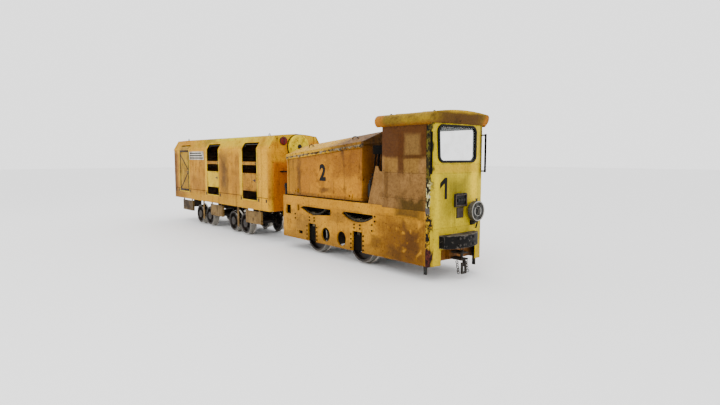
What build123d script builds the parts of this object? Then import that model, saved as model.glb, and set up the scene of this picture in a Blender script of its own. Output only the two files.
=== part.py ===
from build123d import *
from math import asin, atan2, cos, degrees, pi, radians, sin, sqrt, tan
import os

# Battery mine locomotive with a coupled man-riding car, millimetres.
# +X is the locomotive's driving end, +Y its left side and +Z up.  The origin is on the
# plane that the wheel flanges stand on, midway between the two ends of the train.
os.makedirs("parts", exist_ok=True)

# ---- clearances -----------------------------------------------------------------------
running_gap = 0.05
slide_gap = 0.5
door_gap = 4

# ---- track and wheels -----------------------------------------------------------------
gauge = 600
flange_inset = 5
flange_thickness = 22
tread_width = 93
flange_height = 25
loco_tread_radius = 250
car_tread_radius = 190
loco_axle_radius = 50
loco_journal_radius = 45
car_axle_radius = 35
wheel_back = gauge / 2 - flange_inset - flange_thickness - 3
wheel_face = wheel_back + flange_thickness + tread_width
loco_axle_z = loco_tread_radius + flange_height
car_axle_z = car_tread_radius + flange_height

# ---- locomotive frame -----------------------------------------------------------------
loco_rear_x = 750
loco_front_x = 3865
cab_corner_x = 3790
loco_half_width = 475
frame_plate = 23
strip_plate = 25
frame_inner = loco_half_width - strip_plate
skirt_bottom = 180
seam_z = 706
frame_top = 830
rear_axle_x = 1540
loco_wheelbase = 1040
front_axle_x = rear_axle_x + loco_wheelbase
axle_xs = {"rear": rear_axle_x, "front": front_axle_x}
cross_plate = 20
mid_beam_x = (rear_axle_x + front_axle_x) / 2 - cross_plate / 2
rear_beam_x = 1120
cab_beam_x = 2960
buffer_beam_x = 3725
deck_plate = 12
horn_half_width = 98
horn_top = 445

# ---- axleboxes and springs ------------------------------------------------------------
box_half_width = 88
box_low = 190
box_high = 400
box_inner = 400
box_outer = 446
journal_end = 436
spring_half_span = 310
spring_rise = 85
leaf_thickness = 11
leaf_count = 4
leaf_width = 40
spring_low_z = 555
spring_radius = (spring_half_span**2 + spring_rise**2) / (2 * spring_rise)
leaf_inner = (box_inner + box_outer) / 2 + 2 - leaf_width / 2
leaf_outer = leaf_inner + leaf_width
spring_centre_z = spring_low_z + leaf_thickness * leaf_count + spring_radius

# ---- drive ----------------------------------------------------------------------------
gear_module = 7
gear_teeth = 51
pinion_teeth = 17
pressure_angle = 20
backlash = 0.5
gear_width = 60
gear_low_y = 163
gear_high_y = gear_low_y + gear_width
centre_distance = gear_module * (gear_teeth + pinion_teeth) / 2
motor_radius = 140
motor_low_y = -200
motor_high_y = 130
motor_shaft_radius = 20
gear_case_low_y = 150
gear_case_high_y = 236
case_plate = 5
gear_case_gap = 9

# ---- brakes ---------------------------------------------------------------------------
shoe_gap = 8
shoe_thickness = 46
shoe_half_angle = 18
shoe_low_y = 308
shoe_high_y = 380
brake_pivot_z = 620
brake_shaft_radius = 15
brake_offset = loco_tread_radius + shoe_gap + shoe_thickness + 16

# ---- battery --------------------------------------------------------------------------
battery_rear_x = 880
battery_front_x = 2687
battery_half_width = 470
battery_low = 850
battery_rear_top = 1411
battery_front_top = 1574
battery_wall = 8
cell_rows = 8
cell_columns = 3
cell_height = 430
lid_overhang = 16
lid_edge_rise = 45
lid_ridge_rise = 185
lid_sheet = 5
lid_skirt = 30
lid_hinge_offset = 20
lid_pin_radius = 6
slope = atan2(battery_front_top - battery_rear_top, battery_front_x - battery_rear_x)

# ---- cab ------------------------------------------------------------------------------
cab_rear_x = 3062
cab_plate = 10
cab_top = 1800
front_sheet = 8
front_bow = 15
corner_radius = 65
doorway_rear_x = 3130
doorway_front_x = 3745
doorway_top = 1755
cab_floor_z = 500
roof_rear_x = 2972
roof_front_x = 3915
roof_lip_radius = 75
roof_half_width = 520
roof_crown = 1955
roof_lip_z = 1850
roof_sheet = 8
visor_z = 1915
window_left = -375
window_right = 318
window_low = 1355
window_high = 1788
window_corner = 85
seal_width = 28

# ---- car ------------------------------------------------------------------------------
car_front_x = 417
car_rear_x = -3865
car_half_width = 525
car_low = 525
car_seam_z = 665
car_kink_z = 1565
car_eave_z = 1763
car_eave_y = 405
car_crown = 1800
car_sheet = 6
panel_inset = 2
floor_plate = 15
car_post_radius = 60
door_width = 520
door_centres = {"rear": -3245, "middle": -1780, "front": -275}
door_low = 690
door_notch_z = 1665
half_door_low = 835
half_door_high = 1140
safety_bar_low = 1282
safety_bar_high = 1338
leaf_plate = 16
hinge_radius = leaf_plate / 2
hinge_pin_radius = 4
hinge_levels = {"guard_door": [800, 1120, 1440], "half_door": [885, 1090], "safety_bar": [1310]}
lug_height = 20
lug_gap = 1
slot_reach = hinge_radius + 4
lug_foot = 24
bench_height = 400
bench_depth = 370
bulkhead_xs = (-2512, -1028)

# ---- bogies ---------------------------------------------------------------------------
bogie_xs = {"rear": -2515, "front": -955}
bogie_wheelbase = 480
bogie_frame_inner = 205
bogie_frame_plate = 30
bogie_frame_low = 165
bogie_frame_high = 300
bogie_pad = 30
bolster_high = 380
pivot_radius = 35
socket_radius = 90
pivot_top = 480

# ---- draw gear ------------------------------------------------------------------------
coupler_z = 320
drawbar_thickness = 40
draw_plate = 18
draw_pin_radius = 18
draw_reach = 50
draw_half_width = 60
eye_radius = 42

# ---- ends -----------------------------------------------------------------------------
bumper_low = 380
bumper_high = 530
bumper_reach = 150
bumper_plate = 22
bumper_half_width = 325
lamp_y = 260
lamp_z = 780
lamp_radius = 122


def side(x, y, z):
    """Plane facing the near side (-Y), with X to the right and Z up."""
    return Plane((x, y, z), x_dir=(1, 0, 0), z_dir=(0, -1, 0))


def end(x, y=0, z=0):
    """Plane facing forward (+X), with Y to the right and Z up."""
    return Plane((x, y, z), x_dir=(0, 1, 0), z_dir=(1, 0, 0))


def block(low, high, mode=Mode.ADD):
    """Box between two opposite corners."""
    size = [b - a for a, b in zip(low, high)]
    middle = [(a + b) / 2 for a, b in zip(low, high)]
    with Locations(tuple(middle)):
        Box(*size, mode=mode)


def pair(low, high, mode=Mode.ADD):
    """The same box on both sides, its Y taken as the distance from the middle."""
    block(low, high, mode)
    block((low[0], -high[1], low[2]), (high[0], -low[1], high[2]), mode)


def rod(start, stop, radius, mode=Mode.ADD):
    """Round bar between two points that share two coordinates."""
    run = Vector(*stop) - Vector(*start)
    with Locations(Plane(start, z_dir=run.normalized())):
        Cylinder(radius, run.length, align=(Align.CENTER, Align.CENTER, Align.MIN), mode=mode)


def save(label, *pieces):
    """Write one sub-part to its own file, its pieces kept as separate solids."""
    if len(pieces) == 1:
        finished = pieces[0].part
    else:
        finished = Compound([solid for piece in pieces for solid in piece.part.solids()])
    finished.label = label
    export_step(finished, f"parts/{label}.step")


bow_half_width = loco_half_width - corner_radius
bow_radius = (bow_half_width**2 + front_bow**2) / (2 * front_bow)
bow_centre_x = loco_front_x - bow_radius


def clear_cab_front():
    """Cut a piece back to the bowed outer face of the cab front."""
    with Locations((bow_centre_x, 0, cab_top / 2)):
        Cylinder(bow_radius, cab_top * 2, mode=Mode.SUBTRACT)


# =======================================================================================
# Locomotive frame
# =======================================================================================
spring_window_top = 688
spring_window_low = 566
rear_window_left = 305
rear_window_right = 458
front_window_reach = 319

frame_plates = []
for direction in (-1, 1):
    with BuildPart() as plate:
        with BuildSketch(side(0, direction * (frame_inner + frame_plate / 2), 0)):
            with BuildLine():
                Polyline((loco_rear_x, skirt_bottom), (cab_corner_x, skirt_bottom),
                         (cab_corner_x, seam_z), (loco_rear_x, seam_z), close=True)
            make_face()
            # horn openings for the axleboxes
            for x in axle_xs.values():
                with Locations((x, (skirt_bottom + horn_top) / 2)):
                    Rectangle(2 * horn_half_width, horn_top - skirt_bottom, mode=Mode.SUBTRACT)
            # rear spring opening: slanting left, square right
            with BuildLine():
                Polyline((rear_axle_x - rear_window_left, 661),
                         (rear_axle_x - rear_window_left + 70, spring_window_top),
                         (rear_axle_x + rear_window_right, spring_window_top),
                         (rear_axle_x + rear_window_right, 605),
                         (rear_axle_x + 130, 578), (rear_axle_x, spring_window_low),
                         (rear_axle_x - 150, 604), close=True)
            make_face(mode=Mode.SUBTRACT)
            # front spring opening: boat shape
            with BuildLine():
                Polyline((front_axle_x - front_window_reach, 655),
                         (front_axle_x - front_window_reach + 14, spring_window_top),
                         (front_axle_x + front_window_reach - 14, spring_window_top),
                         (front_axle_x + front_window_reach, 655))
                ThreePointArc((front_axle_x + front_window_reach, 655),
                              (front_axle_x, spring_window_low),
                              (front_axle_x - front_window_reach, 655))
            make_face(mode=Mode.SUBTRACT)
            # inspection holes
            with Locations((900, 613)):
                Rectangle(130, 134, mode=Mode.SUBTRACT)
            with Locations((1180, 655)):
                Rectangle(48, 88, mode=Mode.SUBTRACT)
            with Locations((1237, 288)):
                Rectangle(104, 48, mode=Mode.SUBTRACT)
            with Locations((1878, 322), (2239, 310)):
                Circle(100, mode=Mode.SUBTRACT)
        extrude(amount=frame_plate / 2, both=True)
    frame_plates.append(plate)

with BuildPart() as top_strips:
    pair((loco_rear_x, frame_inner, seam_z), (cab_corner_x, loco_half_width, frame_top))
save("frame_side_plates", *frame_plates, top_strips)

with BuildPart() as cross_beams:
    for x in (rear_beam_x, mid_beam_x, cab_beam_x):
        block((x, -frame_inner, skirt_bottom + 20), (x + cross_plate, frame_inner, frame_top - deck_plate))
    # openings that carry the pipes and cables through
    for x in (rear_beam_x, mid_beam_x, cab_beam_x):
        rod((x - 1, 0, 560), (x + cross_plate + 1, 0, 560), 90, Mode.SUBTRACT)

with BuildPart() as rear_plate:
    block((loco_rear_x, -frame_inner, skirt_bottom), (loco_rear_x + cross_plate, frame_inner,
                                                      frame_top - deck_plate))

with BuildPart() as buffer_beam:
    block((buffer_beam_x, -frame_inner, skirt_bottom + 20),
          (buffer_beam_x + cross_plate, frame_inner, cab_floor_z))

with BuildPart() as deck:
    block((loco_rear_x, -frame_inner, frame_top - deck_plate), (cab_beam_x + cross_plate, frame_inner, frame_top))

# the skids lie just inside the side walls of the battery box
skid_inset = 35
skid_width = 40
skid_outer = battery_half_width - skid_inset
with BuildPart() as skids:
    pair((battery_rear_x, skid_outer - skid_width, frame_top), (battery_front_x, skid_outer, battery_low))
    # upstands that keep the battery box from shifting lengthways
    for x in (battery_rear_x - 16, battery_front_x + 4):
        pair((x, 250, frame_top), (x + 12, 330, battery_low + 60))

with BuildPart() as cab_floor:
    block((cab_beam_x + cross_plate, -frame_inner, cab_floor_z), (cab_corner_x, frame_inner, cab_floor_z + 10))
save("frame_decks", deck, skids, cab_floor)

bolt_radius = 12
bolt_head = 9


def frame_bolt_places():
    """X and Z of every bolt head on one side of the frame."""
    places = []
    for x in axle_xs.values():
        for z in (215, 275, 335, 400):
            places += [(x - horn_half_width - 28, z), (x + horn_half_width + 28, z)]
        places += [(x + dx, z) for dx in (-60, 60) for z in (490, 535)]
    places += [(front_axle_x + 350, z) for z in (615, 675)]
    places += [(front_axle_x + 295, z) for z in (488, 562)]
    places += [(loco_rear_x + 345, z) for z in (489, 554)]
    return places


with BuildPart() as frame_bolts:
    for direction in (-1, 1):
        face_y = direction * (frame_inner + frame_plate)
        with BuildSketch(side(0, face_y, 0)):
            with Locations(*frame_bolt_places()):
                RegularPolygon(bolt_radius, 6)
        extrude(amount=-direction * bolt_head)
save("frame_bolts", frame_bolts)

# =======================================================================================
# Axleboxes, horn guides and leaf springs
# =======================================================================================
with BuildPart() as horn_guides:
    for x in axle_xs.values():
        for low_x in (x - box_half_width - slide_gap - 20, x + box_half_width + slide_gap):
            pair((low_x, box_inner, skirt_bottom + 5), (low_x + 20, frame_inner, horn_top + 20))

with BuildPart() as axleboxes:
    for x in axle_xs.values():
        pair((x - box_half_width, box_inner, box_low), (x + box_half_width, box_outer, box_high))
        for direction in (-1, 1):
            rod((x, direction * (box_inner - 1), loco_axle_z), (x, direction * (journal_end + 2), loco_axle_z),
                loco_journal_radius + running_gap, Mode.SUBTRACT)
save("loco_axleboxes", axleboxes, horn_guides)


def leaf_face(x, inner, outer, half_span):
    """Curved strip of one leaf, between two radii about the spring's centre."""
    half_angle = degrees(asin(half_span / spring_radius))
    centre = (x, spring_centre_z)
    with BuildSketch() as strip:
        with BuildLine():
            low = CenterArc(centre, outer, 270 - half_angle, 2 * half_angle)
            high = CenterArc(centre, inner, 270 - half_angle, 2 * half_angle)
            Line(low @ 0, high @ 0)
            Line(low @ 1, high @ 1)
        make_face()
    return strip.sketch


def spring_planes():
    """Outer faces of the spring packs on both sides."""
    return (side(0, -leaf_inner, 0), side(0, leaf_outer, 0))


with BuildPart() as leaves:
    for x in axle_xs.values():
        for y_plane in spring_planes():
            for number in range(leaf_count):
                inner = spring_radius + number * (leaf_thickness + 0.02)
                span = spring_half_span * (1 - 0.22 * number)
                strip = leaf_face(x, inner, inner + leaf_thickness, span)
                extrude(y_plane * strip, amount=leaf_width)

stack_outer = spring_radius + leaf_count * (leaf_thickness + 0.02)
buckle_half_width = 34
with BuildPart() as buckles:
    for x in axle_xs.values():
        pair((x - buckle_half_width, leaf_inner - 6, spring_low_z - 22),
             (x + buckle_half_width, frame_inner, spring_low_z + leaf_count * leaf_thickness + 16))
        pair((x - buckle_half_width + 8, leaf_inner, box_high), (x + buckle_half_width - 8, leaf_outer,
                                                                 spring_low_z - 22))
        for y_plane in spring_planes():
            slot = leaf_face(x, spring_radius, stack_outer, 2 * buckle_half_width)
            extrude(y_plane * slot, amount=leaf_width, mode=Mode.SUBTRACT)

hanger_half_width = 16
with BuildPart() as hangers:
    for x in axle_xs.values():
        for tip in (x - spring_half_span + 24, x + spring_half_span - 24):
            pair((tip - hanger_half_width, leaf_inner, spring_low_z + spring_rise - 20),
                 (tip + hanger_half_width, frame_inner, seam_z))
        for y_plane in spring_planes():
            below = leaf_face(x, spring_radius, spring_radius + 90, spring_half_span + 20)
            extrude(y_plane * below, amount=leaf_width + 60, both=True, mode=Mode.SUBTRACT)
save("leaf_springs", leaves, buckles, hangers)

# =======================================================================================
# Wheels, axles and gears
# =======================================================================================


def wheel_outline(tread_radius, axle_radius):
    """Half section of the near-side wheel as distance from the middle and radius."""
    flange_radius = tread_radius + flange_height
    hub_radius = axle_radius + 42
    rim_radius = tread_radius - 38
    web_inner = wheel_back + 32
    web_outer = web_inner + 26
    return [(wheel_back - 8, axle_radius), (wheel_back - 8, hub_radius), (web_inner, hub_radius + 8),
            (web_inner, rim_radius - 6), (wheel_back, rim_radius), (wheel_back, flange_radius - 8),
            (wheel_back + 7, flange_radius), (wheel_back + flange_thickness - 8, flange_radius),
            (wheel_back + flange_thickness, tread_radius + 3), (wheel_face - 6, tread_radius - 2),
            (wheel_face, tread_radius - 8), (wheel_face, rim_radius), (web_outer, rim_radius - 8),
            (web_outer, hub_radius + 8), (wheel_face + 5, hub_radius), (wheel_face + 5, axle_radius)]


def wheel_pair(x, z, tread_radius, axle_radius, hole_radius):
    """Two flanged disc wheels with round holes in their webs."""
    outline = wheel_outline(tread_radius, axle_radius)
    axis = Axis((x, 0, z), (0, 1, 0))
    hole_circle = (tread_radius - 38 + axle_radius + 42) / 2
    with BuildPart() as wheels:
        for direction in (-1, 1):
            with BuildSketch(Plane((x, 0, z), x_dir=(0, 1, 0), z_dir=(1, 0, 0))):
                with BuildLine():
                    Polyline(*[(direction * y, r) for y, r in outline], close=True)
                make_face()
            revolve(axis=axis)
        for number in range(4):
            turn = radians(45 + 90 * number)
            hole_x = x + hole_circle * cos(turn)
            hole_z = z + hole_circle * sin(turn)
            rod((hole_x, -wheel_face - 10, hole_z), (hole_x, wheel_face + 10, hole_z), hole_radius, Mode.SUBTRACT)
    return wheels


def tooth_face(teeth, low_radius):
    """One involute tooth, pointing along +X of its sketch."""
    pitch = gear_module * teeth / 2
    base = pitch * cos(radians(pressure_angle))
    tip = pitch + gear_module
    half_thickness = pi / (2 * teeth) - backlash / (2 * pitch)
    tooth_turn = half_thickness + tan(radians(pressure_angle)) - radians(pressure_angle)

    def flank(radius):
        roll = sqrt(max((radius / base)**2 - 1, 0))
        turn = tooth_turn - (roll - atan2(roll, 1))
        return (radius * cos(turn), radius * sin(turn))

    start = max(base, low_radius)
    steps = [start + (tip - start) * share for share in (0, 0.25, 0.5, 0.75, 1)]
    upper = [flank(radius) for radius in steps]
    root = (low_radius * 0.96 * cos(tooth_turn), low_radius * 0.96 * sin(tooth_turn))
    with BuildSketch() as tooth:
        with BuildLine():
            high = Spline(*upper)
            low = Spline(*[(px, -py) for px, py in upper])
            ThreePointArc(high @ 1, (tip, 0), low @ 1)
            Polyline(high @ 0, root, (root[0], -root[1]), low @ 0)
        make_face()
    return tooth.sketch


def gear_part(x, z, teeth, bore, first_turn, low_y, high_y):
    """Spur gear about the Y axis through (x, z), its first tooth turned from +X."""
    root_radius = gear_module * teeth / 2 - 1.25 * gear_module
    with BuildPart() as gear:
        with BuildSketch(side(x, low_y, z)):
            Circle(root_radius)
            for number in range(teeth):
                add(tooth_face(teeth, root_radius), rotation=first_turn + number * 360 / teeth)
            if bore:
                Circle(bore, mode=Mode.SUBTRACT)
        extrude(amount=low_y - high_y)
    return gear


for place, x in axle_xs.items():
    wheels = wheel_pair(x, loco_axle_z, loco_tread_radius, loco_axle_radius, 34)

    with BuildPart() as axle:
        rod((x, -wheel_face - 7, loco_axle_z), (x, wheel_face + 7, loco_axle_z), loco_axle_radius)
        rod((x, -journal_end, loco_axle_z), (x, journal_end, loco_axle_z), loco_journal_radius)

    inward = 1 if x < mid_beam_x else -1
    motor_x = x + inward * centre_distance
    facing = 0 if inward > 0 else 180
    axle_gear = gear_part(x, loco_axle_z, gear_teeth, loco_axle_radius, facing, gear_low_y, gear_high_y)
    save(f"loco_wheelset_{place}", wheels, axle, axle_gear)

    half_pitch = 180 / pinion_teeth
    pinion = gear_part(motor_x, loco_axle_z, pinion_teeth, 0, facing + 180 + half_pitch,
                       gear_low_y, gear_high_y)
    with BuildPart() as motor_pinion:
        add(pinion.part)
        rod((motor_x, motor_high_y - 60, loco_axle_z), (motor_x, gear_low_y, loco_axle_z), motor_shaft_radius)
    save(f"motor_pinion_{place}", motor_pinion)

with BuildPart() as motors:
    for x in axle_xs.values():
        inward = 1 if x < mid_beam_x else -1
        motor_x = x + inward * centre_distance
        rod((motor_x, motor_low_y, loco_axle_z), (motor_x, motor_high_y, loco_axle_z), motor_radius)
        rod((motor_x, motor_high_y, loco_axle_z), (motor_x, gear_case_low_y, loco_axle_z), 70)
        # suspension bearings round the axle
        for low_y, high_y in ((-150, -70), (30, 110)):
            rod((x, low_y, loco_axle_z), (x, high_y, loco_axle_z), loco_axle_radius + 35)
            block((min(x, motor_x), low_y, loco_axle_z - 45), (max(x, motor_x), high_y, loco_axle_z + 45))
        rod((x, -160, loco_axle_z), (x, 120, loco_axle_z), loco_axle_radius + running_gap, Mode.SUBTRACT)
        rod((motor_x, motor_high_y - 62, loco_axle_z), (motor_x, gear_case_low_y, loco_axle_z),
            motor_shaft_radius + running_gap, Mode.SUBTRACT)
        # nose that rests on the middle cross beam
        nose_x = sorted((motor_x + inward * (motor_radius - 20),
                         mid_beam_x if inward > 0 else mid_beam_x + cross_plate))
        block((nose_x[0], -120, loco_axle_z + 20), (nose_x[1], -40, loco_axle_z + 60))
save("traction_motors", motors)

gear_tip = gear_module * (gear_teeth / 2 + 1)
pinion_tip = gear_module * (pinion_teeth / 2 + 1)
with BuildPart() as gear_cases:
    for x in axle_xs.values():
        inward = 1 if x < mid_beam_x else -1
        motor_x = x + inward * centre_distance
        for low_y, high_y, shrink, mode in (
                (gear_case_low_y, gear_case_high_y, 0, Mode.ADD),
                (gear_case_low_y + case_plate, gear_case_high_y - case_plate, case_plate, Mode.SUBTRACT)):
            with BuildSketch(side(0, low_y, loco_axle_z)):
                with Locations((x, 0)):
                    Circle(gear_tip + gear_case_gap + case_plate - shrink)
                with Locations((motor_x, 0)):
                    Circle(pinion_tip + gear_case_gap + case_plate - shrink)
                make_hull()
            extrude(amount=low_y - high_y, mode=mode)
        rod((x, gear_case_low_y - 1, loco_axle_z), (x, gear_case_high_y + 1, loco_axle_z),
            loco_axle_radius + 6, Mode.SUBTRACT)
        rod((motor_x, gear_case_low_y - 1, loco_axle_z), (motor_x, gear_case_low_y + case_plate + 1, loco_axle_z),
            motor_shaft_radius + 4, Mode.SUBTRACT)
save("gear_cases", gear_cases)

# =======================================================================================
# Brakes
# =======================================================================================
shoe_inner = loco_tread_radius + shoe_gap
for place, x in axle_xs.items():
    inward = 1 if x < mid_beam_x else -1
    pivot_x = x + inward * brake_offset
    middle_angle = 0 if inward > 0 else 180
    with BuildPart() as rigging:
        for low_y in (-shoe_high_y, shoe_low_y):
            with BuildSketch(side(x, low_y, loco_axle_z)):
                with BuildLine():
                    start = middle_angle - shoe_half_angle
                    outer = CenterArc((0, 0), shoe_inner + shoe_thickness, start, 2 * shoe_half_angle)
                    inner = CenterArc((0, 0), shoe_inner, start, 2 * shoe_half_angle)
                    Line(outer @ 0, inner @ 0)
                    Line(outer @ 1, inner @ 1)
                make_face()
            extrude(amount=shoe_low_y - shoe_high_y)
        pair((pivot_x - 18, 325, loco_axle_z - 40), (pivot_x + 18, 355, brake_pivot_z + 22))
        near_shoe = sorted((pivot_x, x + inward * (shoe_inner + shoe_thickness - 8)))
        pair((near_shoe[0], 325, loco_axle_z - 30), (near_shoe[1], 355, loco_axle_z + 30))
        rod((pivot_x, -395, brake_pivot_z), (pivot_x, 395, brake_pivot_z), brake_shaft_radius)
    save(f"brake_rigging_{place}", rigging)

with BuildPart() as brake_lugs:
    for x in axle_xs.values():
        inward = 1 if x < mid_beam_x else -1
        pivot_x = x + inward * brake_offset
        span = sorted((pivot_x - inward * 28, mid_beam_x if inward > 0 else mid_beam_x + cross_plate))
        pair((span[0], 200, brake_pivot_z - 28), (span[1], 216, brake_pivot_z + 28))
        rod((pivot_x, -230, brake_pivot_z), (pivot_x, 230, brake_pivot_z),
            brake_shaft_radius + running_gap, Mode.SUBTRACT)
save("cross_members", cross_beams, rear_plate, buffer_beam, brake_lugs)

# =======================================================================================
# Battery
# =======================================================================================


def battery_top(x):
    """Height of the sloping top edge of the battery box."""
    return battery_rear_top + (x - battery_rear_x) * tan(slope)


inner_rear_x = battery_rear_x + battery_wall
inner_front_x = battery_front_x - battery_wall
with BuildPart() as battery_box:
    with BuildSketch(side(0, battery_half_width, 0)):
        Polygon((battery_rear_x, battery_low), (battery_front_x, battery_low),
                (battery_front_x, battery_front_top), (battery_rear_x, battery_rear_top), align=None)
    extrude(amount=2 * battery_half_width)
    with BuildSketch(side(0, battery_half_width - battery_wall, 0)):
        Polygon((inner_rear_x, battery_low + battery_wall), (inner_front_x, battery_low + battery_wall),
                (inner_front_x, battery_front_top + 50), (inner_rear_x, battery_front_top + 50), align=None)
    extrude(amount=2 * (battery_half_width - battery_wall), mode=Mode.SUBTRACT)

cell_gap = 6
cell_length = (inner_front_x - inner_rear_x) / cell_rows - cell_gap
cell_width = 2 * (battery_half_width - battery_wall) / cell_columns - cell_gap
cell_base = battery_low + battery_wall
with BuildPart() as cells:
    with BuildSketch(Plane.XY.offset(cell_base)):
        with Locations(((inner_front_x + inner_rear_x) / 2, 0)):
            with GridLocations(cell_length + cell_gap, cell_width + cell_gap, cell_rows, cell_columns):
                RectangleRounded(cell_length, cell_width, 10)
    extrude(amount=cell_height)

link_z = cell_base + cell_height
with BuildPart() as cell_links:
    for column in range(cell_columns):
        y = (column - (cell_columns - 1) / 2) * (cell_width + cell_gap)
        for row in range(cell_rows - 1):
            x = inner_rear_x + (row + 1) * (cell_length + cell_gap)
            block((x - 50, y - 15, link_z), (x + 50, y + 15, link_z + 12))
save("battery_cells", cells, cell_links)

# The lid is drawn in a plane square to the sloping top, with its own up direction.
lid_start = (battery_rear_x - 14, 0, battery_top(battery_rear_x - 14))
lid_length = (battery_front_x + 34 - lid_start[0]) / cos(slope)
lid_near_y = -(battery_half_width + lid_overhang)
lid_far_y = battery_half_width + 6


def lid_plane(distance):
    """Section plane of the lid, some distance along the slope."""
    along = Vector(cos(slope), 0, sin(slope))
    return Plane(Vector(*lid_start) + along * distance, x_dir=(0, 1, 0), z_dir=along)


def lid_outline(sheet):
    """Section of the lid shrunk by a sheet thickness: skirt, edge, ridge and far edge."""
    return [(lid_near_y + sheet, -lid_skirt), (lid_near_y + sheet, lid_edge_rise - sheet),
            (-110, lid_ridge_rise - sheet), (110, lid_ridge_rise - sheet),
            (lid_far_y - sheet, lid_edge_rise - sheet), (lid_far_y - sheet, 2)]


with BuildPart() as lid:
    with BuildSketch(lid_plane(0)):
        Polygon(*lid_outline(0), (lid_near_y + lid_sheet, 2), (lid_near_y + lid_sheet, -lid_skirt), align=None)
    extrude(amount=lid_length)
    with BuildSketch(lid_plane(lid_sheet)):
        Polygon(*lid_outline(lid_sheet)[1:], (lid_near_y + lid_sheet, 2), align=None)
    extrude(amount=lid_length - 2 * lid_sheet, mode=Mode.SUBTRACT)

lid_axis_y = battery_half_width + lid_hinge_offset
hinge_places = (0.12, 0.5, 0.88)
knuckle_radius = 12


def hinge_rod(distance, length, radius, mode=Mode.ADD):
    """Round piece along the lid's hinge line."""
    with Locations(lid_plane(distance) * Pos(lid_axis_y, 0, length / 2)):
        Cylinder(radius, length, mode=mode)


with BuildPart() as box_hinges:
    for share in hinge_places:
        middle = share * lid_length
        for start in (middle - 80, middle + 30):
            hinge_rod(start, 50, knuckle_radius)
            with Locations(lid_plane(start) * Pos(battery_half_width + 6, -35, 25)):
                Box(12, 60, 50)
        hinge_rod(middle - 80, 160, lid_pin_radius)

with BuildPart() as lid_knuckles:
    for share in hinge_places:
        middle = share * lid_length
        hinge_rod(middle - 28, 56, knuckle_radius)
        with Locations(lid_plane(middle - 28) * Pos(lid_far_y + 4, 25, 28)):
            Box(8, 40, 56)
        hinge_rod(middle - 30, 60, lid_pin_radius + running_gap, Mode.SUBTRACT)
save("battery_lid", lid, lid_knuckles)

with BuildPart() as connector:
    block((battery_front_x, -120, 1240), (battery_front_x + 90, 60, 1390))
    block((battery_front_x, -90, 1390), (battery_front_x + 60, 30, 1420))
    rod((battery_front_x + 90, -70, 1320), (battery_front_x + 165, -70, 1320), 34)
    rod((battery_front_x + 90, 15, 1320), (battery_front_x + 150, 15, 1320), 26)
save("battery_connector", connector)

with BuildPart() as lifting_eyes:
    for x in (battery_rear_x + 250, battery_front_x - 250):
        for direction in (-1, 1):
            low, high = sorted((direction * battery_half_width, direction * (battery_half_width + 12)))
            block((x - 45, low, battery_low + 20), (x + 45, high, battery_low + 90))
            rod((x, low - 1, battery_low + 55), (x, high + 1, battery_low + 55), 18, Mode.SUBTRACT)
save("battery_box", battery_box, box_hinges, lifting_eyes)

# =======================================================================================
# Cab
# =======================================================================================
cab_outer = loco_half_width
cab_inner = loco_half_width - cab_plate
gusset_foot_x = 2799
gusset_top = (2942, 1310)

with BuildPart() as near_side:
    with BuildSketch(side(0, -cab_inner, 0)):
        Polygon((gusset_foot_x, frame_top), (cab_corner_x, frame_top), (cab_corner_x, cab_top),
                (cab_rear_x, cab_top), (cab_rear_x, 1240), (cab_rear_x - 50, 1250),
                (gusset_top[0] + 40, gusset_top[1]), gusset_top, align=None)
    extrude(amount=cab_plate)

with BuildPart() as far_side:
    with BuildSketch(side(0, cab_outer, 0)):
        Polygon((gusset_foot_x, frame_top), (cab_corner_x, frame_top), (cab_corner_x, cab_top),
                (cab_rear_x, cab_top), (cab_rear_x, 1240), (cab_rear_x - 50, 1250),
                (gusset_top[0] + 40, gusset_top[1]), gusset_top, align=None)
        with Locations(((doorway_rear_x + doorway_front_x) / 2, (frame_top + doorway_top) / 2)):
            Rectangle(doorway_front_x - doorway_rear_x, doorway_top - frame_top, mode=Mode.SUBTRACT)
    extrude(amount=cab_plate)

rear_window_half = 290
rear_window_z = 1560
rear_window_height = 330
rear_window_corner = 40
with BuildPart() as rear_wall:
    with BuildSketch(end(cab_rear_x)):
        with Locations((0, (frame_top + cab_top) / 2)):
            Rectangle(2 * cab_inner, cab_top - frame_top)
        with Locations((0, rear_window_z)):
            RectangleRounded(2 * rear_window_half, rear_window_height, rear_window_corner, mode=Mode.SUBTRACT)
    extrude(amount=cab_plate)
save("cab_walls", near_side, far_side, rear_wall)

with BuildPart() as rear_glass:
    with BuildSketch(end(cab_rear_x + 3)):
        with Locations((0, rear_window_z)):
            RectangleRounded(2 * rear_window_half, rear_window_height, rear_window_corner)
    extrude(amount=5)


def window_points():
    """Corners of the windscreen opening as Y and Z."""
    return ((window_left, window_high), (window_right, window_high), (window_right, window_low),
            (window_left + 22, window_low))


recess_left = -284
recess_right = 343
recess_top = 360
with BuildPart() as cab_front:
    with BuildSketch(Plane.XY.offset(skirt_bottom)) as front_plan:
        with Locations(((cab_corner_x + loco_front_x) / 2 - 60, 0)):
            Rectangle(loco_front_x - cab_corner_x + 120, 2 * loco_half_width)
        fillet(front_plan.vertices().group_by(Axis.X)[-1], corner_radius)
        with Locations((bow_centre_x, 0)):
            Circle(bow_radius, mode=Mode.INTERSECT)
        offset(amount=-front_sheet, mode=Mode.SUBTRACT)
        with Locations((cab_corner_x - 100, 0)):
            Rectangle(200, 3 * loco_half_width, mode=Mode.SUBTRACT)
    extrude(amount=cab_top - skirt_bottom)
    with BuildSketch(end(cab_corner_x)) as window_cut:
        Polygon(*window_points(), align=None)
        fillet(window_cut.vertices(), window_corner)
    extrude(amount=200, mode=Mode.SUBTRACT)
    block((cab_corner_x + corner_radius - 20, recess_left, skirt_bottom),
          (loco_front_x + 5, recess_right, recess_top), Mode.SUBTRACT)
save("cab_front_panel", cab_front)

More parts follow.
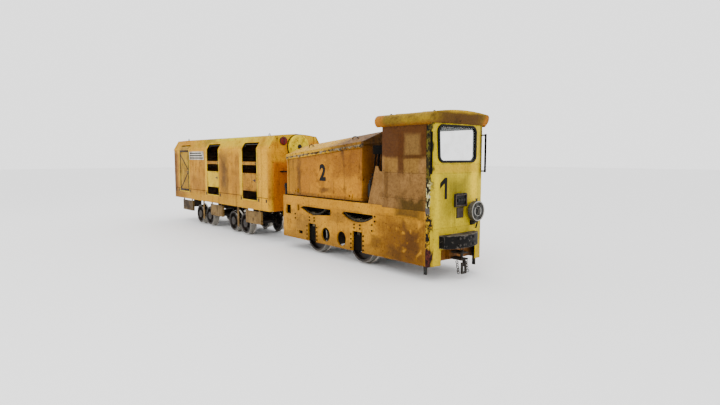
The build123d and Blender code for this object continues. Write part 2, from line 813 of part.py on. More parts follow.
with BuildPart() as window_seal:
    with BuildSketch(end(loco_front_x - 32)) as seal_ring:
        Polygon(*window_points(), align=None)
        fillet(seal_ring.vertices(), window_corner)
        offset(amount=-seal_width, mode=Mode.SUBTRACT)
    extrude(amount=44)
    fillet(window_seal.faces().sort_by(Axis.X)[-1].edges(), 5)
save("window_seal", window_seal)

with BuildPart() as windscreen:
    with BuildSketch(end(loco_front_x - 14)) as screen_shape:
        Polygon(*window_points(), align=None)
        fillet(screen_shape.vertices(), window_corner)
        offset(amount=-seal_width, mode=Mode.REPLACE)
    extrude(amount=6)
save("cab_glass", windscreen, rear_glass)

lip_y = roof_half_width - roof_lip_radius
lip_top = roof_lip_z + roof_lip_radius
hollow_half_width = lip_y - 45


def visor_face(setback):
    """What is cut off under the roof's slanted front edge, seen from the side."""
    low_x = loco_front_x + 1 - setback
    high_x = roof_front_x - setback
    front_x = roof_front_x + 10
    return Polygon((low_x, cab_top - 30), (low_x, cab_top), (high_x, visor_z), (front_x, visor_z),
                   (front_x, cab_top - 30), align=None)


with BuildPart() as roof_hollow:
    with BuildSketch(end(roof_rear_x + roof_sheet)):
        with BuildLine():
            ThreePointArc((-hollow_half_width, lip_top - roof_sheet), (0, roof_crown - roof_sheet),
                          (hollow_half_width, lip_top - roof_sheet))
            Polyline((hollow_half_width, lip_top - roof_sheet), (hollow_half_width, cab_top),
                     (-hollow_half_width, cab_top), (-hollow_half_width, lip_top - roof_sheet))
        make_face()
    extrude(amount=roof_front_x - roof_rear_x - 2 * roof_sheet)
    with BuildSketch(side(0, hollow_half_width, 0)):
        visor_face(roof_sheet)
    extrude(amount=2 * hollow_half_width, mode=Mode.SUBTRACT)

with BuildPart() as roof:
    with BuildSketch(end(roof_rear_x)):
        with BuildLine():
            ThreePointArc((-lip_y, lip_top), (0, roof_crown), (lip_y, lip_top))
            Polyline((lip_y, lip_top), (lip_y, cab_top), (-lip_y, cab_top), (-lip_y, lip_top))
        make_face()
        with Locations((lip_y, roof_lip_z), (-lip_y, roof_lip_z)):
            Circle(roof_lip_radius)
        with Locations((0, cab_top - 50)):
            Rectangle(2 * loco_half_width, 100, mode=Mode.SUBTRACT)
    extrude(amount=roof_front_x - roof_rear_x)
    with BuildSketch(side(0, roof_half_width, 0)):
        visor_face(0)
    extrude(amount=2 * roof_half_width, mode=Mode.SUBTRACT)
    add(roof_hollow.part, mode=Mode.SUBTRACT)
save("cab_roof", roof)

rail_radius = 13
rail_foot_inset = 15
corner_rail_low = 1235
corner_rail_high = 1700
corner_rail_reach = 42
rail_foot_radius = 9
rail_foot_length = 46
entry_rail_low = 1000
entry_rail_high = 1600
entry_rail_reach = 35
with BuildPart() as handrails:
    corner_y = loco_half_width - corner_radius
    corner_x = loco_front_x - corner_radius
    for direction in (-1, 1):
        rail_x = corner_x + (corner_radius + corner_rail_reach) * cos(pi / 4)
        rail_y = direction * (corner_y + (corner_radius + corner_rail_reach) * sin(pi / 4))
        rod((rail_x, rail_y, corner_rail_low), (rail_x, rail_y, corner_rail_high), rail_radius)
        for z in (corner_rail_low + rail_foot_inset, corner_rail_high - rail_foot_inset):
            foot = Plane((rail_x, rail_y, z), z_dir=(-1, -direction, 0))
            with Locations(foot):
                Cylinder(rail_foot_radius, rail_foot_length, align=(Align.CENTER, Align.CENTER, Align.MIN))
        with Locations((corner_x, direction * corner_y, 1300)):
            Cylinder(corner_radius, 1000, mode=Mode.SUBTRACT)
    clear_cab_front()
    # entry rails beside the driver's doorway
    for x in (doorway_rear_x - 30, doorway_front_x + 22):
        rail_y = cab_outer + entry_rail_reach
        rod((x, rail_y, entry_rail_low), (x, rail_y, entry_rail_high), rail_radius)
        for z in (entry_rail_low + rail_foot_inset, entry_rail_high - rail_foot_inset):
            rod((x, cab_outer, z), (x, rail_y, z), rail_foot_radius)
save("cab_handrails", handrails)

seat_y = 40
seat_base = cab_floor_z + 10
seat_level = 900
seat_plate = 12
seat_half_width = 200
seat_rear_x = 3080
seat_front_x = 3430
pedestal_rear_x = 3110
pedestal_front_x = 3400
pedestal_wall = 10
seat_back_top = 1320
pad_half_width = 195
pad_edge = 25
with BuildPart() as seat_frame:
    pedestal_half = seat_half_width - 30
    block((pedestal_rear_x, seat_y - pedestal_half, seat_base),
          (pedestal_front_x, seat_y + pedestal_half, seat_level))
    block((pedestal_rear_x + pedestal_wall, seat_y - pedestal_half + pedestal_wall, seat_base),
          (pedestal_front_x - pedestal_wall, seat_y + pedestal_half - pedestal_wall, seat_level - 8),
          Mode.SUBTRACT)
    block((seat_rear_x, seat_y - seat_half_width, seat_level),
          (seat_rear_x + 20, seat_y + seat_half_width, seat_back_top))
    block((seat_rear_x, seat_y - seat_half_width, seat_level),
          (seat_front_x, seat_y + seat_half_width, seat_level + seat_plate))
save("seat_frame", seat_frame)

with BuildPart() as cushion:
    block((3150, seat_y - pad_half_width, seat_level + seat_plate),
          (seat_front_x - 2, seat_y + pad_half_width, seat_level + 85))
    fillet(cushion.edges().filter_by(Axis.Z), pad_edge)
    fillet(cushion.faces().sort_by(Axis.Z)[-1].edges(), 18)

with BuildPart() as back_pad:
    block((seat_rear_x + 20, seat_y - pad_half_width, seat_level + 90),
          (3148, seat_y + pad_half_width, seat_back_top - 5))
    fillet(back_pad.edges().filter_by(Axis.X), pad_edge)
    fillet(back_pad.faces().sort_by(Axis.X)[-1].edges(), 14)
save("seat_cushions", cushion, back_pad)

controller_x = 3660
controller_y = -300
controller_top = 1160
with BuildPart() as controller:
    block((3570, -390, seat_base), (3760, -200, controller_top))
    fillet(controller.edges().filter_by(Axis.Z), 14)
    rod((controller_x, controller_y, controller_top), (controller_x, controller_y, controller_top + 26), 40)
    rod((controller_x, controller_y, controller_top - 30), (controller_x, controller_y, controller_top + 27),
        12 + running_gap, Mode.SUBTRACT)

with BuildPart() as controller_handle:
    rod((controller_x, controller_y, controller_top - 28), (controller_x, controller_y, controller_top + 50), 12)
    rod((controller_x, controller_y, controller_top + 28), (controller_x, controller_y, controller_top + 50), 26)
    block((controller_x - 130, controller_y - 12, controller_top + 34), (controller_x, controller_y + 12,
                                                                         controller_top + 48))
    rod((controller_x - 118, controller_y, controller_top + 40), (controller_x - 118, controller_y,
                                                                  controller_top + 110), 16)
save("controller_handle", controller_handle)

brake_x = 3640
brake_y = 230
brake_top = 1110
with BuildPart() as brake_column:
    rod((brake_x, brake_y, seat_base), (brake_x, brake_y, brake_top), 32)
    rod((brake_x, brake_y, seat_base), (brake_x, brake_y, seat_base + 14), 70)
    rod((brake_x, brake_y, brake_top - 80), (brake_x, brake_y, brake_top + 1), 14 + running_gap, Mode.SUBTRACT)
save("driver_controls", controller, brake_column)

with BuildPart() as handwheel:
    rod((brake_x, brake_y, brake_top - 78), (brake_x, brake_y, brake_top + 40), 14)
    rod((brake_x, brake_y, brake_top + 2), (brake_x, brake_y, brake_top + 36), 28)
    with Locations((brake_x, brake_y, brake_top + 20)):
        Torus(130, 13)
    block((brake_x - 124, brake_y - 9, brake_top + 14), (brake_x + 124, brake_y + 9, brake_top + 25))
    block((brake_x - 9, brake_y - 124, brake_top + 14), (brake_x + 9, brake_y + 124, brake_top + 25))
save("brake_handwheel", handwheel)

# =======================================================================================
# Front end
# =======================================================================================
bumper_front_x = loco_front_x + bumper_reach


def bumper_plan(inset):
    """Plan of the bowed bumper, drawn in by an inset."""
    with BuildSketch() as plan:
        with BuildLine():
            half = bumper_half_width - inset
            Polyline((bumper_front_x - 90, half - 18), (loco_front_x - 30, half), (loco_front_x - 30, -half),
                     (bumper_front_x - 90, 18 - half))
            ThreePointArc((bumper_front_x - 90, 18 - half), (bumper_front_x - inset, 0),
                          (bumper_front_x - 90, half - 18))
        make_face()
    return plan.sketch


with BuildPart() as bumper:
    extrude(Plane.XY.offset(bumper_low) * bumper_plan(0), amount=bumper_high - bumper_low)
    extrude(Plane.XY.offset(bumper_low - 1) * bumper_plan(bumper_plate),
            amount=bumper_high - bumper_low - bumper_plate + 1, mode=Mode.SUBTRACT)
    clear_cab_front()
save("front_bumper", bumper)

with BuildPart() as coupler:
    block((buffer_beam_x + cross_plate, -70, 215), (3800, 70, 335))
    for z in (300, 225):
        block((3780, -62, z), (3975, 62, z + draw_plate))
    rod((3930, 0, 200), (3930, 0, 340), 16 + running_gap, Mode.SUBTRACT)
    # lug below the pocket for the hanging link
    block((3948, -11, 150), (3985, 11, 225))
    rod((3962, -20, 180), (3962, 20, 180), 13 + running_gap, Mode.SUBTRACT)

with BuildPart() as coupling_pin:
    rod((3930, 0, 222), (3930, 0, 300 + draw_plate), 16)
    rod((3930, 0, 300 + draw_plate), (3930, 0, 332), 27)
    with Locations(Plane((3930, 0, 350), x_dir=(1, 0, 0), z_dir=(0, 1, 0))):
        Torus(20, 5)
save("coupling_pin", coupling_pin)

with BuildPart() as hanging_link:
    rod((3962, -40, 180), (3962, 40, 180), 13)
    pair((3948, 24, 62), (3976, 40, 196))
    block((3948, -40, 62), (3976, 40, 84))
save("hanging_link", hanging_link)

with BuildPart() as rail_guards:
    pair((buffer_beam_x + cross_plate, frame_inner - 14, 80), (cab_corner_x - 2, frame_inner, 330))

with BuildPart() as lamp_body:
    rod((loco_front_x + 22, lamp_y, lamp_z), (loco_front_x + 92, lamp_y, lamp_z), lamp_radius)
    fillet(lamp_body.faces().sort_by(Axis.X)[0].edges(), 18)
    rod((loco_front_x + 80, lamp_y, lamp_z), (loco_front_x + 93, lamp_y, lamp_z), lamp_radius - 20, Mode.SUBTRACT)
    block((loco_front_x - 20, lamp_y - 60, lamp_z - 70), (loco_front_x + 30, lamp_y + 60, lamp_z + 70))
    clear_cab_front()

with BuildPart() as lamp_lens:
    rod((loco_front_x + 80, lamp_y, lamp_z), (loco_front_x + 88, lamp_y, lamp_z), lamp_radius - 20)
save("headlamp_lens", lamp_lens)

with BuildPart() as lamp_guard:
    with Locations(end(loco_front_x + 98, lamp_y, lamp_z)):
        Torus(lamp_radius - 12, 6)
        Torus(52, 5)
    for number in range(3):
        turn = radians(60 * number)
        reach = lamp_radius - 14
        tip = (loco_front_x + 98, lamp_y + reach * cos(turn), lamp_z + reach * sin(turn))
        tail = (loco_front_x + 98, lamp_y - reach * cos(turn), lamp_z - reach * sin(turn))
        rod(tail, tip, 4)
save("headlamp_body", lamp_body, lamp_guard)

with BuildPart() as socket:
    block((loco_front_x - 15, -76, 841), (loco_front_x + 16, 145, 994))
    block((loco_front_x + 4, -54, 863), (loco_front_x + 20, 123, 972), Mode.SUBTRACT)
    clear_cab_front()

with BuildPart() as data_plate:
    block((loco_front_x - 15, -32, 708), (loco_front_x + 3, 96, 833))
    clear_cab_front()
save("front_fittings", socket, data_plate, rail_guards)

# =======================================================================================
# Draw gear between the locomotive and the car
# =======================================================================================
loco_pin_x = loco_rear_x - draw_reach
car_pin_x = car_front_x + draw_reach
plate_low_z = coupler_z - drawbar_thickness / 2 - slide_gap - draw_plate
plate_high_z = coupler_z + drawbar_thickness / 2 + slide_gap

with BuildPart() as loco_drawhead:
    for z in (plate_low_z, plate_high_z):
        block((loco_pin_x - 40, -draw_half_width, z), (loco_rear_x, draw_half_width, z + draw_plate))
    rod((loco_pin_x, 0, plate_low_z - 1), (loco_pin_x, 0, plate_high_z + draw_plate + 1), draw_pin_radius,
        Mode.SUBTRACT)

with BuildPart() as draw_pins_loco:
    rod((loco_pin_x, 0, plate_low_z - 12), (loco_pin_x, 0, plate_high_z + draw_plate), draw_pin_radius)
    rod((loco_pin_x, 0, plate_high_z + draw_plate), (loco_pin_x, 0, plate_high_z + draw_plate + 14), 28)
save("loco_drawheads", coupler, loco_drawhead, draw_pins_loco)

with BuildPart() as drawbar:
    with BuildSketch(Plane.XY.offset(coupler_z - drawbar_thickness / 2)):
        with Locations((loco_pin_x, 0), (car_pin_x, 0)):
            Circle(eye_radius)
        with Locations(((loco_pin_x + car_pin_x) / 2, 0)):
            Rectangle(loco_pin_x - car_pin_x, 50)
        with Locations((loco_pin_x, 0), (car_pin_x, 0)):
            Circle(draw_pin_radius + running_gap, mode=Mode.SUBTRACT)
    extrude(amount=drawbar_thickness)
save("drawbar", drawbar)

car_drawheads = []
for face_x, outward in ((car_front_x, 1), (car_rear_x, -1)):
    pin_x = face_x + outward * draw_reach
    with BuildPart() as drawhead:
        for z in (plate_low_z, plate_high_z):
            xs = sorted((face_x - outward * 12, pin_x + outward * 40))
            block((xs[0], -draw_half_width, z), (xs[1], draw_half_width, z + draw_plate))
        xs = sorted((face_x - outward * 30, face_x - outward * 12))
        block((xs[0], -90, plate_low_z - 20), (xs[1], 90, car_low))
        xs = sorted((face_x - outward * 180, face_x - outward * 30))
        pair((xs[0], 60, 440), (xs[1], 76, car_low))
        rod((pin_x, 0, plate_low_z - 1), (pin_x, 0, plate_high_z + draw_plate + 1), draw_pin_radius,
            Mode.SUBTRACT)
    car_drawheads.append(drawhead)

with BuildPart() as draw_pins_car:
    rod((car_pin_x, 0, plate_low_z - 12), (car_pin_x, 0, plate_high_z + draw_plate), draw_pin_radius)
    rod((car_pin_x, 0, plate_high_z + draw_plate), (car_pin_x, 0, plate_high_z + draw_plate + 14), 28)
save("car_drawheads", *car_drawheads, draw_pins_car)

rear_buffer_reach = 150
with BuildPart() as rear_buffer:
    with BuildSketch(Plane.XY.offset(car_low + 10)):
        with BuildLine():
            Polyline((car_rear_x, -260), (car_rear_x, 260), (car_rear_x - 70, 230))
            ThreePointArc((car_rear_x - 70, 230), (car_rear_x - rear_buffer_reach, 0), (car_rear_x - 70, -230))
            Line((car_rear_x - 70, -230), (car_rear_x, -260))
        make_face()
        with BuildLine():
            Polyline((car_rear_x + 1, -225), (car_rear_x + 1, 225), (car_rear_x - 60, 205))
            ThreePointArc((car_rear_x - 60, 205), (car_rear_x - rear_buffer_reach + 22, 0),
                          (car_rear_x - 60, -205))
            Line((car_rear_x - 60, -205), (car_rear_x + 1, -225))
        make_face(mode=Mode.SUBTRACT)
    extrude(amount=110)
save("rear_bumper", rear_buffer)

# =======================================================================================
# Car body
# =======================================================================================
post_x = {"front": car_front_x - car_post_radius, "rear": car_rear_x + car_post_radius}
panel_outer = car_half_width - panel_inset
panel_inner = panel_outer - car_sheet
half_door = door_width / 2

with BuildPart() as side_sills:
    pair((post_x["rear"], car_half_width - car_sheet, car_low), (post_x["front"], car_half_width, car_seam_z))

door_edges = [(x - half_door, x + half_door) for x in door_centres.values()]
panel_spans = list(zip([post_x["rear"]] + [edge[1] for edge in door_edges],
                       [edge[0] for edge in door_edges] + [post_x["front"]]))
with BuildPart() as near_panels:
    for low_x, high_x in panel_spans:
        block((low_x, -panel_outer, car_seam_z), (high_x, -panel_inner, car_kink_z))

with BuildPart() as far_panels:
    block((post_x["rear"], panel_inner, car_seam_z), (post_x["front"], panel_outer, car_kink_z))

with BuildPart() as thresholds:
    for low_x, high_x in door_edges:
        block((low_x, -panel_outer, car_seam_z), (high_x, -panel_inner, door_low - door_gap))


def corner_post_face(x, direction_x, direction_y):
    """Quarter-round sheet at one upright corner of the car."""
    centre = (x, direction_y * (car_half_width - car_post_radius))
    start = {(1, 1): 0, (-1, 1): 90, (-1, -1): 180, (1, -1): 270}[(direction_x, direction_y)]
    with BuildSketch() as corner:
        with BuildLine():
            outer = CenterArc(centre, car_post_radius, start, 90)
            inner = CenterArc(centre, car_post_radius - car_sheet, start, 90)
            Line(outer @ 0, inner @ 0)
            Line(outer @ 1, inner @ 1)
        make_face()
    return corner.sketch


with BuildPart() as corner_posts:
    for place, direction_x in (("front", 1), ("rear", -1)):
        for direction_y in (-1, 1):
            corner = corner_post_face(post_x[place], direction_x, direction_y)
            extrude(Plane.XY.offset(car_low) * corner, amount=car_kink_z - car_low)
leaf_face_y = -panel_outer


def hinge_edge(x, low_z, high_z, levels):
    """Rounds a leaf's hinged edge, with a slot at each fixed lug and the pin through it."""
    pin_x = x - half_door + door_gap + hinge_radius
    pin_y = leaf_face_y + hinge_radius
    rod((pin_x, pin_y, low_z), (pin_x, pin_y, high_z), hinge_radius)
    for z in levels:
        slot = lug_height / 2 + lug_gap
        block((pin_x - hinge_radius - 1, leaf_face_y - 1, z - slot),
              (pin_x + slot_reach, leaf_face_y + leaf_plate + 1, z + slot), Mode.SUBTRACT)
        rod((pin_x, pin_y, z - slot), (pin_x, pin_y, z + slot), hinge_pin_radius)


# Each lug is an angle welded behind the panel beside a doorway, bored for the hinge pin.
with BuildPart() as hinge_lugs:
    for place, levels in (("rear", hinge_levels["guard_door"]),
                          ("middle", hinge_levels["half_door"] + hinge_levels["safety_bar"]),
                          ("front", hinge_levels["half_door"] + hinge_levels["safety_bar"])):
        jamb_x = door_centres[place] - half_door
        pin_x = jamb_x + door_gap + hinge_radius
        for z in levels:
            half = lug_height / 2
            block((jamb_x, leaf_face_y, z - half), (pin_x, leaf_face_y + leaf_plate, z + half))
            rod((pin_x, leaf_face_y + hinge_radius, z - half), (pin_x, leaf_face_y + hinge_radius, z + half),
                hinge_radius)
            block((jamb_x - lug_foot, -panel_inner, z - half), (jamb_x, leaf_face_y + leaf_plate, z + half))
            rod((pin_x, leaf_face_y + hinge_radius, z - half), (pin_x, leaf_face_y + hinge_radius, z + half),
                hinge_pin_radius + running_gap, Mode.SUBTRACT)
save("car_side_walls", side_sills, near_panels, far_panels, thresholds, corner_posts, hinge_lugs)


def end_outline(inset):
    """Half-hexagon of the car's upper section, from kink to crown."""
    return [(-car_half_width + inset, car_kink_z), (-car_eave_y + inset * 0.7, car_eave_z - inset * 0.7),
            (0, car_crown - inset), (car_eave_y - inset * 0.7, car_eave_z - inset * 0.7),
            (car_half_width - inset, car_kink_z)]


wall_half = car_half_width - car_post_radius
end_walls = []
for x in (car_front_x - car_sheet, car_rear_x):
    with BuildPart() as end_wall:
        with BuildSketch(end(x)):
            with Locations((0, (car_low + car_kink_z) / 2)):
                Rectangle(2 * wall_half, car_kink_z - car_low)
            with BuildLine():
                kink_left, eave_left, crown, eave_right, kink_right = end_outline(car_sheet)
                Line(kink_left, eave_left)
                ThreePointArc(eave_left, crown, eave_right)
                Polyline(eave_right, kink_right, kink_left)
            make_face()
        extrude(amount=car_sheet)
    end_walls.append(end_wall)
save("car_end_walls", *end_walls)

with BuildPart() as car_roof:
    with BuildSketch(end(car_rear_x)):
        with BuildLine():
            outer = end_outline(0)
            inner = end_outline(car_sheet)
            Line(outer[0], outer[1])
            ThreePointArc(outer[1], outer[2], outer[3])
            Polyline(outer[3], outer[4], inner[4], inner[3])
            ThreePointArc(inner[3], inner[2], inner[1])
            Polyline(inner[1], inner[0], outer[0])
        make_face()
    extrude(amount=car_front_x - car_rear_x)
    for low_x, high_x in door_edges:
        block((low_x, -car_half_width - 1, car_kink_z - 1), (high_x, -car_eave_y, door_notch_z), Mode.SUBTRACT)
save("car_roof", car_roof)

with BuildPart() as car_floor:
    block((post_x["rear"], -panel_inner, car_seam_z), (post_x["front"], panel_inner, car_seam_z + floor_plate))

sill_y = 150
with BuildPart() as car_sills:
    pair((car_rear_x + car_sheet, sill_y, car_low), (car_front_x - car_sheet, sill_y + 20, car_seam_z))
    for x in [*bogie_xs.values(), (bogie_xs["rear"] + bogie_xs["front"]) / 2]:
        block((x - 70, -panel_inner, car_seam_z - 60), (x + 70, panel_inner, car_seam_z))
    for x in (car_rear_x + car_sheet, car_front_x - car_sheet - 20):
        block((x, -wall_half, car_low), (x + 20, wall_half, car_seam_z))
save("car_underframe", car_floor, car_sills)

with BuildPart() as sockets:
    for x in bogie_xs.values():
        rod((x, 0, bolster_high + 2), (x, 0, car_seam_z - 60), socket_radius)
        rod((x, 0, bolster_high), (x, 0, pivot_top + 5), pivot_radius + running_gap, Mode.SUBTRACT)
save("bogie_centre_sockets", sockets)

floor_top = car_seam_z + floor_plate
with BuildPart() as bulkheads:
    for x in bulkhead_xs:
        with BuildSketch(end(x)):
            with BuildLine():
                kink_left, eave_left, crown, eave_right, kink_right = end_outline(car_sheet + 4)
                Polyline((-panel_inner, floor_top), kink_left, eave_left)
                ThreePointArc(eave_left, crown, eave_right)
                Polyline(eave_right, kink_right, (panel_inner, floor_top), (-panel_inner, floor_top))
            make_face()
        extrude(amount=car_sheet)
save("car_bulkheads", bulkheads)

bench_top = floor_top + bench_height
compartments = list(zip([car_rear_x + car_sheet] + [x + car_sheet for x in bulkhead_xs],
                        [*bulkhead_xs, car_front_x - car_sheet]))
with BuildPart() as benches:
    for low_x, high_x in compartments:
        for wall_x, inward in ((low_x + 20, 1), (high_x - 20, -1)):
            edge_x = wall_x + inward * bench_depth
            xs = sorted((wall_x, edge_x))
            block((xs[0], -wall_half + 10, bench_top - 35), (xs[1], wall_half - 10, bench_top))
            xs = sorted((edge_x - inward * 60, edge_x - inward * 40))
            block((xs[0], -wall_half + 10, floor_top), (xs[1], wall_half - 10, bench_top - 35))
save("car_benches", benches)

step_half = 270
step_outer = 465
step_inner = 425
with BuildPart() as steps:
    for x in door_centres.values():
        block((x - step_half, -step_outer, 262), (x + step_half, -step_inner, 482))
        block((x - step_half + 6, -step_outer + 6, 290), (x + step_half - 6, -step_inner + 1, 483), Mode.SUBTRACT)
        for offset_x in (-step_half + 30, step_half - 70):
            block((x + offset_x, -step_outer + 6, 482 - 120), (x + offset_x + 40, -step_outer + 16, car_low))

with BuildPart() as step_hangers:
    for x in door_centres.values():
        for offset_x in (-step_half + 30, step_half - 70):
            block((x + offset_x, -car_half_width + car_sheet, car_low),
                  (x + offset_x + 40, -step_outer + 16, car_low + 10))

with BuildPart() as guard_bars:
    for x in bogie_xs.values():
        pair((x - 28, 402, 130), (x + 28, 414, car_seam_z - 60))
save("car_steps", steps, step_hangers, guard_bars)

# =======================================================================================
# Car doors and bars
# =======================================================================================
slope_run = (car_half_width - car_eave_y) / (car_eave_z - car_kink_z)
closed_top = door_notch_z - 20
guard_left = door_centres["rear"] - half_door + door_gap
guard_top_y = leaf_face_y + (closed_top - car_kink_z) * slope_run
with BuildPart() as guard_door:
    with BuildSketch(end(guard_left)):
        Polygon((leaf_face_y, door_low), (leaf_face_y, car_kink_z), (guard_top_y, closed_top),
                (guard_top_y + leaf_plate, closed_top), (leaf_face_y + leaf_plate, car_kink_z),
                (leaf_face_y + leaf_plate, door_low), align=None)
    extrude(amount=door_width - 2 * door_gap)
    block((guard_left, leaf_face_y, door_low), (guard_left + hinge_radius, leaf_face_y + leaf_plate, car_kink_z),
          Mode.SUBTRACT)
    hinge_edge(door_centres["rear"], door_low, car_kink_z, hinge_levels["guard_door"])
save("guard_door", guard_door)

for place in ("middle", "front"):
    x = door_centres[place]
    start = x - half_door + door_gap + hinge_radius
    finish = x + half_door - door_gap
    with BuildPart() as half_leaf:
        block((start, leaf_face_y, half_door_low), (finish, leaf_face_y + leaf_plate, half_door_high))
        hinge_edge(x, half_door_low, half_door_high, hinge_levels["half_door"])
    save(f"half_door_{place}", half_leaf)
    with BuildPart() as safety_bar:
        block((start, leaf_face_y, safety_bar_low), (finish, leaf_face_y + leaf_plate, safety_bar_high))
        hinge_edge(x, safety_bar_low, safety_bar_high, hinge_levels["safety_bar"])
    save(f"safety_bar_{place}", safety_bar)

# =======================================================================================
# Car end fittings
# =======================================================================================
with BuildPart() as tail_lamp:
    rod((car_front_x, -262, 1683), (car_front_x + 34, -262, 1683), 64)
    fillet(tail_lamp.faces().sort_by(Axis.X)[-1].edges(), 12)
save("marker_lamp", tail_lamp)

with BuildPart() as ventilator:
    rod((car_front_x, 20, 1590), (car_front_x + 66, 20, 1590), 196)
    fillet(ventilator.faces().sort_by(Axis.X)[-1].edges(), 22)
    with Locations(end(car_front_x + 66, 20, 1590)):
        with PolarLocations(120, 6):
            Cylinder(20, 20, mode=Mode.SUBTRACT)

with BuildPart() as end_handle:
    rod((car_front_x + 40, -330, 1180), (car_front_x + 40, -190, 1180), 12)
    for y in (-318, -202):
        rod((car_front_x, y, 1180), (car_front_x + 40, y, 1180), 10)
save("car_end_fittings", ventilator, end_handle)

# =======================================================================================
# Bogies
# =======================================================================================
for place, bogie_x in bogie_xs.items():
    frame_outer = bogie_frame_inner + bogie_frame_plate
    half_base = bogie_wheelbase / 2
    with BuildPart() as bogie:
        for outer_y in (frame_outer, -bogie_frame_inner):
            with BuildSketch(side(bogie_x, outer_y, 0)):
                Polygon((-half_base - 70, bogie_frame_low), (-half_base + 70, bogie_frame_low),
                        (-half_base + 100, 215), (half_base - 100, 215), (half_base - 70, bogie_frame_low),
                        (half_base + 70, bogie_frame_low), (half_base + 70, bogie_frame_high - 35),
                        (half_base - 60, bogie_frame_high), (-half_base + 60, bogie_frame_high),
                        (-half_base - 70, bogie_frame_high - 35), align=None)
            extrude(amount=bogie_frame_plate)
        block((bogie_x - 40, -bogie_frame_inner, 225), (bogie_x + 40, bogie_frame_inner, bogie_frame_high - 5))
        for offset_x in (-half_base, half_base):
            rod((bogie_x + offset_x, -frame_outer - 1, car_axle_z), (bogie_x + offset_x, frame_outer + 1, car_axle_z),
                car_axle_radius + running_gap, Mode.SUBTRACT)

    with BuildPart() as pads:
        pair((bogie_x - 120, bogie_frame_inner, bogie_frame_high), (bogie_x + 120, frame_outer,
                                                                    bogie_frame_high + bogie_pad))

    with BuildPart() as bolster:
        block((bogie_x - 110, -frame_outer, bogie_frame_high + bogie_pad),
              (bogie_x + 110, frame_outer, bolster_high))
        rod((bogie_x, 0, bolster_high), (bogie_x, 0, pivot_top), pivot_radius)
    save(f"bogie_frame_{place}", bogie, pads, bolster)

    for number, offset_x in ((1, -half_base), (2, half_base)):
        axle_x = bogie_x + offset_x
        wheelset = wheel_pair(axle_x, car_axle_z, car_tread_radius, car_axle_radius, 20)
        with BuildPart() as car_axle:
            rod((axle_x, -wheel_face - 7, car_axle_z), (axle_x, wheel_face + 7, car_axle_z), car_axle_radius)
        save(f"car_wheelset_{place}_{number}", wheelset, car_axle)
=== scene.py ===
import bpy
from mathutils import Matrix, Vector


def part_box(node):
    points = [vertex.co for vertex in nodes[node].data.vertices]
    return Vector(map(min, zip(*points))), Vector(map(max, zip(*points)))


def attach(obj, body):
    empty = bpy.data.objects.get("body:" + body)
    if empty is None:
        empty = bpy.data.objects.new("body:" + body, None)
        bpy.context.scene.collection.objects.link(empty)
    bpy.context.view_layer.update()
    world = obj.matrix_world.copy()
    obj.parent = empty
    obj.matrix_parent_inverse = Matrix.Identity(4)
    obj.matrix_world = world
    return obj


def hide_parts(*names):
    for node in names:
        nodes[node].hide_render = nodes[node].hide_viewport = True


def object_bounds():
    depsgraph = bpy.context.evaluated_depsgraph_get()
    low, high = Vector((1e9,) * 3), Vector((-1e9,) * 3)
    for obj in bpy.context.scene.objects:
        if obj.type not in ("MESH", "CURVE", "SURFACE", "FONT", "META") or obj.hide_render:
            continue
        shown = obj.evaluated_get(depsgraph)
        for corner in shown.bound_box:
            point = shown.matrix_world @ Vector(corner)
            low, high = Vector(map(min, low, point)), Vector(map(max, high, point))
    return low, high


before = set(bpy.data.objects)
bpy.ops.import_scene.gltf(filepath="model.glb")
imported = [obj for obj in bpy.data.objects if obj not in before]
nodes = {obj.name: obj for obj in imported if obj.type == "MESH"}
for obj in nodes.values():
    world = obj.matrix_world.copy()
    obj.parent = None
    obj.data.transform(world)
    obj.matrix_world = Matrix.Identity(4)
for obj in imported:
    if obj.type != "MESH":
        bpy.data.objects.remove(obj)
cadBox = [list(corner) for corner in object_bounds()]

import math

import bpy
from mathutils import Vector

scene = bpy.context.scene
print("frame loaded")

# making and finishing pieces


def clearSelection():
    if bpy.context.object and bpy.context.object.mode != "OBJECT":
        bpy.ops.object.mode_set(mode="OBJECT")
    bpy.ops.object.select_all(action="DESELECT")


def pick(piece):
    clearSelection()
    piece.select_set(True)
    bpy.context.view_layer.objects.active = piece


def settle(piece):
    pick(piece)
    bpy.ops.object.transform_apply(location=True, rotation=True, scale=True)


def applyModifier(piece, kind, **values):
    pick(piece)
    modifier = piece.modifiers.new(kind.lower(), kind)
    for key, value in values.items():
        setattr(modifier, key, value)
    bpy.ops.object.modifier_apply(modifier=modifier.name)


creases = {"bevel": 0.6, "smooth": 0.7, "round": 0.8}


def softenEdges(piece, width, segments=2):
    if width:
        applyModifier(piece, "BEVEL", width=width, segments=segments, limit_method="ANGLE",
                      angle_limit=creases["bevel"])
    pick(piece)
    bpy.ops.object.shade_smooth_by_angle(angle=creases["smooth"])


# keeps what lies behind the plane and closes the cut
def cutBehind(piece, point, normal):
    pick(piece)
    bpy.ops.object.mode_set(mode="EDIT")
    bpy.ops.mesh.select_all(action="SELECT")
    bpy.ops.mesh.bisect(plane_co=point, plane_no=normal, use_fill=True, clear_outer=True)
    bpy.ops.mesh.select_all(action="DESELECT")
    bpy.ops.object.mode_set(mode="OBJECT")


# a block between two corners, with cuts
def slab(name, low, high, bevel=0.002, cuts=(), segments=2):
    clearSelection()
    middle = [(a + b) / 2 for a, b in zip(low, high)]
    bpy.ops.mesh.primitive_cube_add(size=1, location=middle)
    piece = bpy.context.object
    piece.name = name
    piece.scale = [abs(b - a) for a, b in zip(low, high)]
    settle(piece)
    for point, normal in cuts:
        cutBehind(piece, point, normal)
    softenEdges(piece, bevel, segments)
    return piece


turns = {"x": (0, math.pi / 2, 0), "y": (math.pi / 2, 0, 0), "z": (0, 0, 0)}


